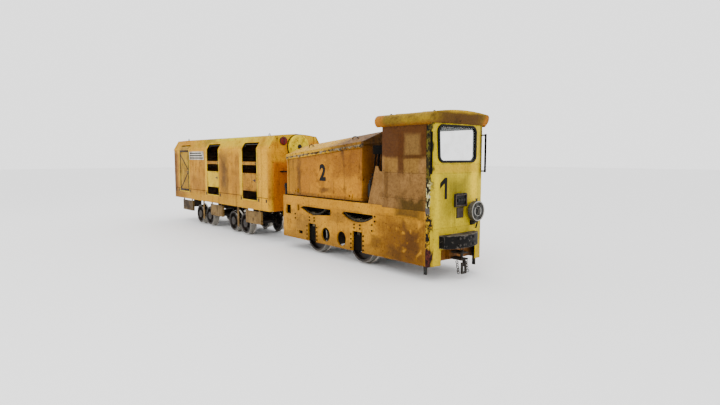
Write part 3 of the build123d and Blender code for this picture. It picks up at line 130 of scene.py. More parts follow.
def disc(name, centre, radius, depth, axis="x", sides=32, bevel=0.002, segments=2):
    clearSelection()
    bpy.ops.mesh.primitive_cylinder_add(vertices=sides, radius=radius, depth=depth, location=centre,
                                        rotation=turns[axis])
    piece = bpy.context.object
    piece.name = name
    settle(piece)
    softenEdges(piece, bevel, segments)
    return piece


def ring(name, centre, major, minor, axis="x", majorSteps=40, minorSteps=10):
    clearSelection()
    bpy.ops.mesh.primitive_torus_add(major_radius=major, minor_radius=minor, location=centre,
                                     rotation=turns[axis], major_segments=majorSteps,
                                     minor_segments=minorSteps)
    piece = bpy.context.object
    piece.name = name
    settle(piece)
    pick(piece)
    bpy.ops.object.shade_smooth()
    return piece


# a round bar along straight or smooth points
def bar(name, points, radius, smooth=False, closed=False):
    line = bpy.data.curves.new(name, "CURVE")
    line.dimensions = "3D"
    line.bevel_depth = radius
    line.bevel_resolution = 3
    line.use_fill_caps = not closed
    spline = line.splines.new("NURBS" if smooth else "POLY")
    spline.points.add(len(points) - 1)
    for point, place in zip(spline.points, points):
        point.co = (*place, 1)
    spline.use_cyclic_u = closed
    if smooth:
        spline.order_u = 3
        spline.use_endpoint_u = not closed
        spline.resolution_u = 6
    piece = bpy.data.objects.new(name, line)
    scene.collection.objects.link(piece)
    pick(piece)
    bpy.ops.object.convert(target="MESH")
    piece = bpy.context.object
    bpy.ops.object.shade_smooth_by_angle(angle=creases["round"])
    return piece


def join(name, pieces):
    clearSelection()
    for piece in pieces:
        piece.select_set(True)
    bpy.context.view_layer.objects.active = pieces[0]
    if len(pieces) > 1:
        bpy.ops.object.join()
    joined = bpy.context.object
    joined.name = name
    joined.data.name = name
    return joined


# one small piece modelled at the first place and copied to the others
def repeated(name, make, places):
    first = make(places[0])
    made = [first]
    for place in places[1:]:
        twin = first.copy()
        twin.data = first.data.copy()
        twin.location = Vector(place) - Vector(places[0])
        scene.collection.objects.link(twin)
        settle(twin)
        made.append(twin)
    return join(name, made)


def boltHead(axis, radius, height, sides=6):
    return lambda place: disc("bolt", place, radius, height, axis, sides, radius * 0.12, 1)


# rivet and bolt heads on the outermost faces are cut off level with the CAD model's box
def finish(piece, body, material):
    for vertex in piece.data.vertices:
        for axis in range(3):
            vertex.co[axis] = min(max(vertex.co[axis], cadBox[0][axis]), cadBox[1][axis])
    piece.data.materials.clear()
    piece.data.materials.append(material)
    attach(piece, body)
    return piece


def paint(material, *names):
    for name in names:
        mesh = nodes[name].data
        mesh.materials.clear()
        mesh.materials.append(material)


# materials


# a paint colour given as it should look, made deeper because the view softens strong colours
depth = {"purity": 1.13, "strength": 0.94, "contrast": 1.49}


def tone(red, green, blue):
    linear = [(c / 255 / 12.92 if c <= 10 else ((c / 255 + 0.055) / 1.055) ** 2.4)
              for c in (red, green, blue)]
    most = max(linear)
    level = depth["strength"] * most ** depth["contrast"]
    return (*[level * max(1 - (1 - c / most) * depth["purity"], 0.004) for c in linear], 1)


def node(tree, kind, values=None, **settings):
    made = tree.nodes.new("ShaderNode" + kind)
    for key, value in settings.items():
        setattr(made, key, value)
    for key, value in (values or {}).items():
        if isinstance(value, bpy.types.NodeSocket):
            tree.links.new(value, made.inputs[key])
        else:
            made.inputs[key].default_value = value
    return made


def newMaterial(name):
    material = bpy.data.materials.new(name)
    material.use_nodes = True
    tree = material.node_tree
    shader = next(n for n in tree.nodes if n.type == "BSDF_PRINCIPLED")
    place = node(tree, "TexCoord").outputs["Object"]
    return material, tree, shader, place


def stretched(tree, place, scale, offset=(0, 0, 0)):
    return node(tree, "Mapping", {"Vector": place, "Scale": scale, "Location": offset}).outputs[0]


def noiseOf(tree, place, scale, detail=5, roughness=0.55, distortion=0.0):
    return node(tree, "TexNoise", {"Vector": place, "Scale": scale, "Detail": detail,
                                   "Roughness": roughness, "Distortion": distortion}).outputs["Fac"]


# a smooth step from 0 at low to 1 at high, or down when low is the larger
def step(tree, value, low, high, top=1.0):
    ends = (0.0, top) if low < high else (top, 0.0)
    low, high = min(low, high), max(low, high)
    return node(tree, "MapRange", {"Value": value, "From Min": low, "From Max": high, "To Min": ends[0],
                                   "To Max": ends[1]}, interpolation_type="SMOOTHSTEP").outputs[0]


def maths(tree, operation, first, second):
    return node(tree, "Math", {0: first, 1: second}, operation=operation).outputs[0]


def mixed(tree, amount, first, second, blend="MIX"):
    return node(tree, "Mix", {0: amount, 6: first, 7: second}, data_type="RGBA",
                blend_type=blend).outputs[2]


# colour, roughness and relief into the shader
def dress(tree, shader, colour, rough, height, strength, distance):
    bump = node(tree, "Bump", {"Height": height, "Strength": strength, "Distance": distance})
    for value, entry in ((colour, "Base Color"), (rough, "Roughness"), (bump.outputs[0], "Normal")):
        tree.links.new(value, shader.inputs[entry])


# how far a rounded normal turns away from the flat one, so 0 except along edges
def edgeTurn(tree, radius):
    bent = node(tree, "Bevel", {"Radius": radius}, samples=4).outputs[0]
    flat = node(tree, "NewGeometry").outputs["Normal"]
    along = node(tree, "VectorMath", {0: bent, 1: flat}, operation="DOT_PRODUCT").outputs["Value"]
    return maths(tree, "SUBTRACT", 1.0, along)


# value * scale + base
def scaledTo(tree, value, scale, base):
    return maths(tree, "ADD", maths(tree, "MULTIPLY", value, scale), base)


# 1 inside a soft ragged box about centre, 0 outside
def patchMask(tree, place, centre, half, feather, ragged=0.0):
    moved = place
    if ragged:
        wobble = node(tree, "TexNoise", {"Vector": place, "Scale": 6.0, "Detail": 4.0}).outputs["Color"]
        shift = node(tree, "VectorMath", {0: wobble, 1: (0.5, 0.5, 0.5)}, operation="SUBTRACT").outputs[0]
        scaled = node(tree, "VectorMath", {0: shift, "Scale": ragged}, operation="SCALE").outputs[0]
        moved = node(tree, "VectorMath", {0: place, 1: scaled}, operation="ADD").outputs[0]
    scale = tuple(1 / size for size in half)
    offset = tuple(-middle / size for middle, size in zip(centre, half))
    local = stretched(tree, moved, scale, offset)
    mirrored = node(tree, "VectorMath", {0: local}, operation="ABSOLUTE").outputs[0]
    sides = node(tree, "SeparateXYZ", {0: mirrored})
    furthest = maths(tree, "MAXIMUM", sides.outputs[0],
                     maths(tree, "MAXIMUM", sides.outputs[1], sides.outputs[2]))
    return step(tree, furthest, 1 + feather, 1 - feather)


# old thick paint on plate: blotches, runs, chips through to rust, worn edges, and bands by height and boxed
# patches that paint in grime and, in some paints, painted light and shade
def agedPaint(name, look):
    material, tree, shader, place = newMaterial(name)
    broad = noiseOf(tree, place, look.get("patchScale", 1.6), 6, 0.62, 0.4)
    shifted = stretched(tree, place, (1, 1, 1), (3.1, 7.7, 1.3))
    middle = noiseOf(tree, shifted, look.get("blotchScale", 7), 7, 0.65)
    fine = noiseOf(tree, place, 36, 8, 0.78)
    runs = noiseOf(tree, stretched(tree, place, (11, 11, 0.9)), 1.0, 6, 0.6, 0.2)
    colour = mixed(tree, step(tree, broad, 0.35, 0.65), tone(*look["base"]), tone(*look["light"]))
    colour = mixed(tree, step(tree, middle, 0.47, 0.72, look.get("blotch", 0.6)), colour,
                   tone(*look["dark"]))
    high = node(tree, "SeparateXYZ", {0: place}).outputs[2]
    # bands by height: grime, and in some paints painted light on lit tops and painted shade on lower parts
    for start, end, shade, amount in look.get("fades", ()):
        edge = scaledTo(tree, maths(tree, "SUBTRACT", middle, 0.5), 0.12, high)
        colour = mixed(tree, step(tree, edge, start, end, amount), colour, tone(*shade))
    # boxed patches: stains and wear, and in some paints painted highlights and painted shadows
    for centre, half, feather, ragged, shade, amount in look.get("patches", ()):
        mask = maths(tree, "MULTIPLY", patchMask(tree, place, centre, half, feather, ragged), amount)
        colour = mixed(tree, mask, colour, tone(*shade))
    for centre, half, shade, pale in look.get("scars", ()):
        specks = noiseOf(tree, stretched(tree, place, (1, 1, 0.6), (4.4, 1.9, 6.3)), 32, 8, 0.75)
        scar = mixed(tree, step(tree, specks, 0.49, 0.56), tone(*shade), tone(*pale))
        colour = mixed(tree, patchMask(tree, place, centre, half, 0.15, 0.06), colour, scar)
    runMask = step(tree, runs, 0.53, 0.72, look.get("runs", 0.5))
    colour = mixed(tree, runMask, colour, tone(*look["run"]))
    chips = noiseOf(tree, stretched(tree, place, (1, 1, 1), (9.3, 2.2, 5.1)), look.get("chipScale", 26), 8,
                    0.72)
    chipStart = look.get("chipStart", 0.64)
    chipMask = step(tree, chips, chipStart, chipStart + 0.03, look.get("chip", 0.8))
    colour = mixed(tree, chipMask, colour, tone(*look["rust"]))
    away = edgeTurn(tree, look.get("edge", 0.006))
    worn = maths(tree, "MULTIPLY", step(tree, away, 0.01, 0.12),
                 step(tree, middle, 0.38, 0.58, look.get("wear", 0.7)))
    colour = mixed(tree, worn, colour, tone(*look["rust"]))
    speckle = step(tree, fine, 0.40, 0.64, look.get("grain", 0.45))
    colour = mixed(tree, speckle, colour, (0.42, 0.37, 0.30, 1), "MULTIPLY")
    rough = scaledTo(tree, chipMask, 0.2, scaledTo(tree, middle, 0.35, look.get("rough", 0.42)))
    shader.inputs["Specular IOR Level"].default_value = look.get("shine", 0.1)
    height = maths(tree, "SUBTRACT", maths(tree, "MULTIPLY", middle, 0.6),
                   maths(tree, "MULTIPLY", chipMask, 0.5))
    dress(tree, shader, colour, rough, scaledTo(tree, fine, 0.25, height), look.get("bump", 0.35), 0.002)
    return material


# bare or greasy metal
def worksMetal(name, look):
    material, tree, shader, place = newMaterial(name)
    broad = noiseOf(tree, place, 5, 6, 0.6, 0.5)
    fine = noiseOf(tree, place, 60, 6, 0.7)
    colour = mixed(tree, step(tree, broad, 0.4, 0.64), look["base"], look["second"])
    colour = mixed(tree, step(tree, fine, 0.55, 0.7, 0.6), colour, look["spot"])
    colour = mixed(tree, step(tree, edgeTurn(tree, 0.004), 0.02, 0.2, 0.5), colour, look["edge"])
    shader.inputs["Metallic"].default_value = look["metal"]
    dress(tree, shader, colour, scaledTo(tree, fine, 0.3, look["rough"]), maths(tree, "ADD", fine, broad),
          look.get("bump", 0.3), 0.0015)
    return material


rustRed = (74, 40, 20)


# a paint's colours and whatever differs from the usual wear
def coat(base, light, dark, run, rust=rustRed, **wear):
    return {"base": base, "light": light, "dark": dark, "run": run, "rust": rust, **wear}



paintLooks = {
    "cabSide": coat((150, 114, 74), (166, 128, 86), (118, 86, 50), (98, 68, 34), runs=0.5, chip=0.7,
        chipStart=0.63, patchScale=3.2, blotch=0.6, grain=0.55, shine=0.06,
        fades=[
            (1.38, 1.45, (104, 62, 14), 0.9), (0.86, 0.74, (146, 102, 50), 0.5)],
        # these patches paint a pattern of light panels and dark strips onto the flat side plate: painted light
        # and painted shadow
        patches=[
            ((3.22, -0.47, 1.325), (0.115, 0.05, 0.085), 0.25, 0.05, (160, 122, 74), 0.8),
            ((3.56, -0.47, 1.325), (0.125, 0.05, 0.085), 0.25, 0.05, (158, 122, 74), 0.8),
            ((3.575, -0.47, 1.56), (0.120, 0.05, 0.120), 0.3, 0.05, (148, 116, 74), 0.85),
            ((3.39, -0.47, 1.46), (0.045, 0.05, 0.24), 0.3, 0.04, (108, 66, 16), 0.85),
            ((3.58, -0.47, 1.425), (0.17, 0.05, 0.022), 0.5, 0.03, (104, 66, 20), 0.8),
            ((3.56, -0.47, 0.86), (0.20, 0.05, 0.09), 0.4, 0.20, (96, 74, 32), 0.85),
            ((3.14, -0.47, 1.10), (0.03, 0.05, 0.22), 0.6, 0.10, (116, 80, 34), 0.6)]),
    "cabFront": coat((192, 168, 56), (214, 190, 58), (158, 138, 46), (116, 98, 34), (96, 70, 26), runs=0.4,
        chip=0.8, chipStart=0.63, blotch=0.5, patchScale=1.1, grain=0.4,
        fades=[(0.60, 0.30, (196, 164, 52), 0.6)],
        # first patch: painted shade on the middle of the bowed front; second and third: painted highlights in
        # vertical bands near the edges of the bowed face
        patches=[
            ((3.86, -0.04, 0.98), (0.2, 0.20, 0.20), 0.7, 0.15, (140, 126, 34), 0.8),
            ((3.86, 0.30, 1.00), (0.2, 0.06, 0.55), 0.8, 0.04, (236, 204, 48), 0.9),
            ((3.86, -0.36, 0.90), (0.2, 0.035, 0.60), 0.8, 0.04, (216, 192, 60), 0.8),
            ((3.86, -0.02, 1.29), (0.2, 0.38, 0.045), 0.5, 0.05, (202, 166, 60), 0.7),
            ((3.82, 0.46, 1.50), (0.05, 0.05, 0.30), 0.3, 0.03, (112, 90, 36), 0.9),
            ((3.80, 0.0, 0.25), (0.03, 0.30, 0.10), 0.5, 0.03, (200, 150, 48), 0.7)],
        scars=[
            ((3.815, -0.47, 1.45), (0.032, 0.06, 0.36), (34, 30, 20), (122, 112, 48)),
            ((3.815, -0.47, 0.94), (0.030, 0.06, 0.20), (46, 42, 30), (206, 196, 140)),
            ((3.815, -0.47, 0.56), (0.032, 0.06, 0.22), (36, 30, 22), (190, 152, 56)),
            ((3.815, -0.47, 0.26), (0.036, 0.06, 0.12), (60, 26, 30), (112, 60, 54))]),
    "cabRoof": coat((146, 118, 52), (170, 140, 62), (108, 80, 32), (84, 60, 24), runs=0.4, chip=0.8,
        chipStart=0.61, blotch=0.7, grain=0.5,
        # fades: the crown painted lighter where light falls from above, the lower lips and front painted darker
        # as shade
        fades=[
            (1.90, 1.95, (214, 176, 52), 0.7), (1.84, 1.78, (150, 92, 26), 0.8)],
        patches=[
            # first patch: painted shadow on the front of the roof under its overhang
            ((3.91, 0.0, 1.85), (0.06, 0.42, 0.075), 0.4, 0.03, (112, 76, 28), 0.9),
            ((3.02, -0.48, 1.84), (0.09, 0.08, 0.09), 0.5, 0.03, (186, 124, 34), 0.8),
            ((3.91, 0.48, 1.84), (0.10, 0.05, 0.09), 0.5, 0.03, (184, 122, 30), 0.85)]),
    "battery": coat((182, 126, 48), (206, 148, 62), (140, 92, 32), (108, 72, 24), runs=0.9, chip=0.85,
        chipStart=0.61, patchScale=1.9, blotch=0.8, grain=0.55,
        fades=[
            (1.28, 1.50, (156, 104, 38), 0.6), (0.90, 0.86, (110, 76, 34), 0.6)],
        patches=[
            ((1.20, -0.47, 1.10), (0.05, 0.05, 0.28), 0.6, 0.12, (118, 82, 30), 0.75),
            ((1.02, -0.47, 1.15), (0.12, 0.05, 0.30), 0.6, 0.2, (172, 128, 52), 0.6),
            ((1.85, -0.47, 0.96), (0.14, 0.05, 0.04), 0.6, 0.2, (110, 74, 28), 0.7),
            ((2.34, -0.47, 1.32), (0.30, 0.05, 0.16), 0.6, 0.3, (150, 98, 34), 0.7),
            # dark end face towards the cab: painted shade in the recess between battery and cab
            ((2.70, 0.0, 1.20), (0.03, 0.46, 0.40), 0.3, 0.05, (118, 70, 24), 0.85)]),
    "lid": coat((164, 116, 40), (196, 146, 46), (104, 70, 32), (74, 50, 26), (70, 44, 22), runs=0.6, chip=0.9,
        chipStart=0.57, blotch=0.9, grain=0.6, blotchScale=11,
        patches=[
            ((1.40, 0, 1.5), (0.62, 0.6, 0.3), 0.5, 0.2, (222, 176, 38), 0.85),
            # dark front end of the lid next to the cab: painted shade
            ((2.72, 0, 1.66), (0.06, 0.6, 0.3), 0.4, 0.1, (84, 52, 20), 0.9),
            ((2.40, 0, 1.66), (0.34, 0.6, 0.3), 0.6, 0.2, (116, 78, 28), 0.75)]),
    "lidEdge": coat((104, 76, 40), (176, 160, 128), (58, 42, 26), (50, 36, 22), (46, 32, 20), runs=0.6,
        chip=0.9, chipStart=0.53, blotch=0.9, patchScale=9, blotchScale=24, wear=0.2),
    "frame": coat((190, 138, 68), (208, 156, 80), (150, 102, 44), (118, 78, 32), (96, 60, 28), runs=0.5,
        chip=0.9, chipStart=0.60, patchScale=1.8, blotch=0.75, grain=0.5,
        fades=[
            (0.34, 0.18, (150, 108, 52), 0.7), (0.69, 0.73, (204, 150, 70), 0.6)],
        patches=[
            ((3.42, -0.47, 0.40), (0.38, 0.05, 0.26), 0.5, 0.3, (136, 92, 32), 0.9),
            ((3.58, -0.47, 0.46), (0.16, 0.05, 0.20), 0.6, 0.4, (104, 66, 22), 0.75),
            ((3.30, -0.47, 0.28), (0.14, 0.05, 0.08), 0.6, 0.3, (110, 74, 28), 0.7),
            ((3.52, -0.47, 0.77), (0.22, 0.05, 0.05), 0.4, 0.1, (96, 70, 30), 0.8),
            ((1.35, -0.47, 0.40), (0.30, 0.05, 0.14), 0.6, 0.3, (150, 112, 62), 0.7),
            ((2.30, -0.47, 0.62), (0.30, 0.05, 0.05), 0.6, 0.3, (140, 98, 46), 0.6),
            ((2.95, -0.47, 0.35), (0.10, 0.05, 0.08), 0.5, 0.2, (120, 84, 40), 0.7),
            ((2.05, -0.47, 0.24), (0.9, 0.05, 0.06), 0.5, 0.1, (168, 124, 66), 0.6)]),
    "carWall": coat((182, 130, 48), (206, 152, 58), (142, 96, 38), (120, 84, 34), (104, 70, 34), runs=0.45,
        chip=0.85, chipStart=0.61, patchScale=1.6, blotch=0.7, grain=0.45,
        fades=[
            (0.74, 0.66, (206, 158, 74), 0.7), (1.44, 1.56, (220, 168, 34), 0.8)],
        patches=[
            ((0.19, -0.52, 1.05), (0.15, 0.05, 0.50), 0.35, 0.08, (226, 174, 66), 0.85),
            ((-1.28, -0.52, 1.10), (0.12, 0.05, 0.34), 0.8, 0.25, (112, 82, 44), 0.85),
            ((-0.60, -0.52, 1.10), (0.05, 0.05, 0.42), 0.5, 0.06, (226, 184, 84), 0.8),
            ((-2.10, -0.52, 1.10), (0.05, 0.05, 0.42), 0.5, 0.06, (230, 182, 70), 0.8),
            ((-3.82, -0.5, 1.05), (0.16, 0.1, 0.52), 0.4, 0.05, (120, 76, 42), 0.8),
            ((-3.60, -0.52, 0.62), (0.40, 0.05, 0.12), 0.5, 0.2, (150, 104, 44), 0.7)]),
    "carRoof": coat((198, 154, 0), (212, 178, 0), (156, 120, 10), (128, 94, 16), (118, 76, 30), runs=0.4,
        chip=0.8, chipStart=0.62, blotch=0.6, grain=0.4, shine=0.05,
        fades=[(1.64, 1.57, (214, 160, 24), 0.7)],
        patches=[
            # first patch: painted highlight where light falls on the near roof slope
            ((-1.2, -0.35, 1.78), (0.9, 0.25, 0.05), 0.7, 0.2, (214, 196, 0), 0.9),
            ((-2.1, -0.35, 1.76), (0.25, 0.25, 0.08), 0.6, 0.3, (150, 122, 20), 0.7),
            ((-3.3, -0.42, 1.72), (0.6, 0.15, 0.12), 0.5, 0.2, (196, 138, 66), 0.7)]),
    "carEnd": coat((204, 142, 52), (222, 168, 62), (168, 104, 38), (122, 74, 30), (92, 52, 26), runs=0.6,
        chip=0.9, chipStart=0.60, blotch=0.7, grain=0.5,
        fades=[(1.62, 1.74, (214, 180, 60), 0.7)],
        patches=[
            ((0.42, 0.0, 0.92), (0.2, 0.46, 0.42), 0.10, 0.03, (196, 122, 62), 0.9),
            ((0.42, -0.10, 1.05), (0.2, 0.20, 0.20), 0.6, 0.2, (172, 100, 48), 0.7)]),
    "vent": coat((214, 178, 44), (230, 204, 64), (160, 120, 40), (104, 76, 30), runs=0.3, chip=0.9,
        chipStart=0.59, blotch=0.8, blotchScale=14,
        patches=[((0.44, -0.26, 1.18), (0.06, 0.10, 0.04), 0.2, 0, (40, 30, 22), 1)]),
    "guardDoor": coat((172, 132, 40), (198, 160, 50), (130, 94, 32), (92, 68, 26), runs=0.5, chip=0.85,
        chipStart=0.61, blotch=0.7),
    # the half door's yellow as if lit straight on: painted light
    "doorPaintedLit": coat((214, 178, 34), (226, 194, 46), (180, 138, 34), (120, 88, 30), runs=0.35, chip=0.8,
        chipStart=0.63),
    # the same half-door yellow made brown and dark: painted shade
    "doorPaintedShade": coat((176, 126, 62), (200, 150, 78), (124, 80, 38), (92, 60, 30), runs=0.6, chip=0.9,
        chipStart=0.59, blotch=0.8),
    "doorOutline": coat((66, 48, 24), (104, 78, 34), (44, 32, 18), (50, 36, 20), runs=0.5, chip=0.8,
        chipStart=0.6),
    # dark brown for the inside of car and cab: painted shade standing in for the dark interior seen through the
    # openings
    "inside": coat((100, 66, 34), (126, 88, 46), (58, 38, 24), (48, 34, 24), runs=0.6, chip=0.8, chipStart=0.6,
        rough=0.5),
    "undercarriage": coat((56, 48, 38), (84, 70, 52), (32, 27, 22), (88, 62, 36), (86, 52, 28), runs=0.5,
        chip=0.8, chipStart=0.58, rough=0.5, shine=0.25,
        patches=[((3.75, 0.0, 0.27), (0.06, 0.36, 0.12), 0.4, 0.08, (176, 118, 40), 0.7)]),
    "bumper": coat((24, 22, 20), (40, 36, 33), (12, 11, 10), (60, 48, 38), (142, 136, 128), runs=0.4, chip=0.8,
        chipStart=0.61, wear=0.9, edge=0.012,
        # the lighter grey top: partly wear on the top plate, partly painted highlight where light falls on it
        fades=[(0.524, 0.530, (116, 108, 102), 0.85)]),
    "grease": coat((26, 23, 20), (38, 33, 27), (14, 12, 10), (52, 38, 24), (74, 50, 30), runs=0.4, chip=0.7,
        chipStart=0.63, shine=0.05, rough=0.6),
    "spring": coat((40, 34, 28), (92, 82, 62), (24, 20, 17), (60, 46, 30), (150, 140, 112), runs=0.4, chip=0.8,
        chipStart=0.58, patchScale=5, shine=0.1),
    "step": coat((140, 112, 72), (168, 138, 92), (84, 64, 42), (60, 46, 32), runs=0.7, chip=0.85,
        chipStart=0.59, blotch=0.9,
        patches=[((-3.3, -0.44, 0.40), (0.36, 0.06, 0.14), 0.5, 0.2, (70, 56, 42), 0.85)]),
    "lampShell": coat((98, 92, 78), (138, 132, 116), (56, 50, 42), (50, 42, 32), (72, 54, 38), runs=0.4,
        chip=0.8, chipStart=0.60, shine=0.3, rough=0.35, blotch=0.9, blotchScale=20),
    "dataPlate": coat((98, 86, 78), (118, 106, 98), (64, 54, 48), (54, 46, 40), runs=0.3, chip=0.6,
        chipStart=0.64),
    "numeral": coat((24, 22, 18), (34, 30, 24), (14, 12, 10), (60, 46, 24), (150, 112, 54), runs=0.25, chip=0.8,
        chipStart=0.67),
    "boardWhite": coat((206, 198, 184), (220, 214, 204), (170, 158, 138), (140, 122, 92), (120, 96, 62),
        runs=0.4, chip=0.6, chipStart=0.66),
}
paints = {name: agedPaint(name + "Paint", look) for name, look in paintLooks.items()}

metals = {"steel": worksMetal("wornSteel", {"base": tone(74, 66, 58), "second": tone(54, 45, 37),
                                            "spot": tone(92, 62, 40), "edge": tone(140, 132, 118),
                                            "metal": 0.35, "rough": 0.5}),
          "iron": worksMetal("castIron", {"base": tone(48, 44, 40), "second": tone(34, 30, 27),
                                          "spot": tone(80, 54, 34), "edge": tone(96, 88, 78), "metal": 0.5,
                                          "rough": 0.45}),
          "bright": worksMetal("brightMetal", {"base": tone(190, 188, 182), "second": tone(160, 156, 148),
                                               "spot": tone(110, 98, 82), "edge": tone(226, 224, 220),
                                               "metal": 0.85, "rough": 0.25, "bump": 0.15}),}


# wheels: rust on the webs, bright where the rail rubs
railLift = 0.025


def wheelMetal(name, axles, treadRadius):
    material, tree, shader, place = newMaterial(name)
    parts = node(tree, "SeparateXYZ", {0: place})
    nearest = None
    for axleX in axles:
        apart = maths(tree, "POWER", maths(tree, "SUBTRACT", parts.outputs[0], axleX), 2.0)
        nearest = apart if nearest is None else maths(tree, "MINIMUM", nearest, apart)
    rise = maths(tree, "POWER", maths(tree, "SUBTRACT", parts.outputs[2], treadRadius + railLift), 2.0)
    radius = maths(tree, "SQRT", maths(tree, "ADD", nearest, rise), 0.0)
    broad = noiseOf(tree, place, 9, 6, 0.6)
    fine = noiseOf(tree, place, 80, 5, 0.7)
    colour = mixed(tree, step(tree, broad, 0.4, 0.62), tone(54, 42, 33), tone(74, 55, 40))
    colour = mixed(tree, step(tree, fine, 0.5, 0.7, 0.7), colour, tone(48, 38, 30))
    rub = step(tree, radius, treadRadius - 0.012, treadRadius - 0.004)
    colour = mixed(tree, rub, colour, tone(176, 170, 160))
    tree.links.new(scaledTo(tree, rub, 0.6, 0.3), shader.inputs["Metallic"])
    rough = scaledTo(tree, fine, 0.2, step(tree, rub, 1.0, 0.0, 0.5))
    dress(tree, shader, colour, rough, maths(tree, "ADD", fine, broad), 0.25, 0.0015)
    return material


locoWheels = wheelMetal("locoWheels", (1.54, 2.58), 0.25)
carWheels = wheelMetal("carWheels", (-1.195, -0.715, -2.755, -2.275), 0.19)


def rubber(name, shade, lighter):
    material, tree, shader, place = newMaterial(name)
    broad = noiseOf(tree, place, 12, 6, 0.6)
    fine = noiseOf(tree, place, 120, 4, 0.7)
    colour = mixed(tree, step(tree, broad, 0.42, 0.68), shade, lighter)
    shader.inputs["Specular IOR Level"].default_value = 0.15
    dress(tree, shader, colour, scaledTo(tree, broad, 0.3, 0.45), fine, 0.2, 0.001)
    return material


sealRubber = rubber("sealRubber", tone(16, 15, 14), tone(34, 32, 28))
cellPlastic = rubber("cellPlastic", tone(48, 50, 54), tone(70, 72, 76))
hoseRubber = rubber("hoseRubber", tone(36, 34, 32), tone(58, 54, 48))


def paneGlass(name, tint, through, dust):
    material, tree, shader, place = newMaterial(name)
    film = noiseOf(tree, place, 6, 7, 0.65, 0.3)
    fine = noiseOf(tree, place, 60, 5, 0.7)
    colour = mixed(tree, step(tree, film, 0.4, 0.7, 0.6), tint, dust)
    tree.links.new(maths(tree, "ADD", step(tree, film, 0.4, 0.8, 0.12), through), shader.inputs["Alpha"])
    shader.inputs["IOR"].default_value = 1.5
    dress(tree, shader, colour, scaledTo(tree, film, 0.2, 0.02), fine, 0.05, 0.0005)
    return material


cabGlass = paneGlass("cabGlass", tone(196, 206, 208), 0.10, tone(170, 160, 136))


def lampLens(name, inner, outer, gloss):
    material, tree, shader, place = newMaterial(name)
    ribs = node(tree, "TexWave", {"Vector": place, "Scale": 26.0, "Distortion": 0.6},
                bands_direction="Y").outputs["Fac"]
    film = noiseOf(tree, place, 20, 6, 0.6)
    shader.inputs["Coat Weight"].default_value = gloss
    shader.inputs["Specular IOR Level"].default_value = 0.2
    colour = mixed(tree, step(tree, film, 0.4, 0.65), inner, outer)
    dress(tree, shader, colour, scaledTo(tree, film, 0.25, 0.05), ribs, 0.3, 0.002)
    return material


headGlass = lampLens("headlampGlass", tone(52, 50, 42), tone(26, 25, 20), 0.15)
redGlass = lampLens("redLampGlass", tone(138, 12, 2), tone(104, 8, 2), 0.0)


def agedLeather(name):
    material, tree, shader, place = newMaterial(name)
    grain = node(tree, "TexVoronoi", {"Vector": place, "Scale": 240.0},
                 feature="DISTANCE_TO_EDGE").outputs["Distance"]
    broad = noiseOf(tree, place, 9, 6, 0.6)
    scuff = noiseOf(tree, place, 34, 7, 0.7)
    colour = mixed(tree, step(tree, broad, 0.4, 0.66), tone(40, 36, 33), tone(60, 52, 46))
    colour = mixed(tree, step(tree, scuff, 0.6, 0.68, 0.8), colour, tone(104, 86, 66))
    dress(tree, shader, colour, scaledTo(tree, broad, 0.3, 0.38), step(tree, grain, 0.0, 0.12), 0.35,
          0.0008)
    return material


seatLeather = agedLeather("seatLeather")


def benchTimber(name):
    material, tree, shader, place = newMaterial(name)
    warped = node(tree, "VectorMath", {0: stretched(tree, place, (1.2, 16, 16)),
                                       1: node(tree, "TexNoise",
                                               {"Vector": place, "Scale": 3.0}).outputs["Color"]},
                  operation="ADD").outputs[0]
    rings = noiseOf(tree, warped, 1.6, 8, 0.6, 0.6)
    wear = noiseOf(tree, place, 8, 6, 0.6)
    colour = mixed(tree, step(tree, rings, 0.35, 0.65), tone(112, 84, 54), tone(78, 56, 36))
    colour = mixed(tree, step(tree, wear, 0.5, 0.7, 0.6), colour, tone(140, 116, 84))
    dress(tree, shader, colour, scaledTo(tree, wear, 0.25, 0.5), rings, 0.4, 0.0015)
    return material


timber = benchTimber("benchTimber")
print("materials made")

# finishes on the CAD pieces
paint(paints["cabSide"], "cab_walls")
paint(paints["cabFront"], "cab_front_panel")
paint(paints["cabRoof"], "cab_roof")
paint(paints["battery"], "battery_box")
paint(paints["lid"], "battery_lid")
paint(paints["frame"], "frame_side_plates")
paint(paints["carWall"], "car_side_walls")
paint(paints["carRoof"], "car_roof")
paint(paints["carEnd"], "car_end_walls")
paint(paints["vent"], "car_end_fittings")
paint(paints["guardDoor"], "guard_door")
# the middle half door takes the lit copy of the door yellow, the front half door and both safety bars the
# shaded copy: painted light and shade
paint(paints["doorPaintedLit"], "half_door_middle")
paint(paints["doorPaintedShade"], "half_door_front", "safety_bar_middle", "safety_bar_front")
# bulkheads, decks, seat frame and controls in dark brown: painted shade of the interiors
paint(paints["inside"], "car_bulkheads", "frame_decks", "seat_frame", "driver_controls")
paint(paints["undercarriage"], "cross_members", "car_underframe", "bogie_frame_front", "bogie_frame_rear",
      "bogie_centre_sockets", "loco_drawheads", "car_drawheads", "gear_cases", "rear_bumper",
      "battery_connector")
paint(paints["bumper"], "front_bumper")
paint(paints["grease"], "cab_handrails", "frame_bolts", "loco_axleboxes")
paint(paints["step"], "car_steps")
paint(paints["lampShell"], "headlamp_body")
paint(metals["iron"], "brake_rigging_front", "brake_rigging_rear", "traction_motors", "brake_handwheel",
      "front_fittings")
paint(paints["spring"], "leaf_springs")
paint(metals["steel"], "motor_pinion_front", "motor_pinion_rear", "drawbar", "coupling_pin", "hanging_link",
      "controller_handle")
paint(locoWheels, "loco_wheelset_front", "loco_wheelset_rear")
paint(carWheels, "car_wheelset_front_1", "car_wheelset_front_2", "car_wheelset_rear_1",
      "car_wheelset_rear_2")
paint(sealRubber, "window_seal")
paint(cabGlass, "cab_glass")
paint(headGlass, "headlamp_lens")
paint(redGlass, "marker_lamp")
paint(cellPlastic, "battery_cells")
paint(timber, "car_benches")
paint(seatLeather, "seat_cushions")
print("CAD pieces painted")

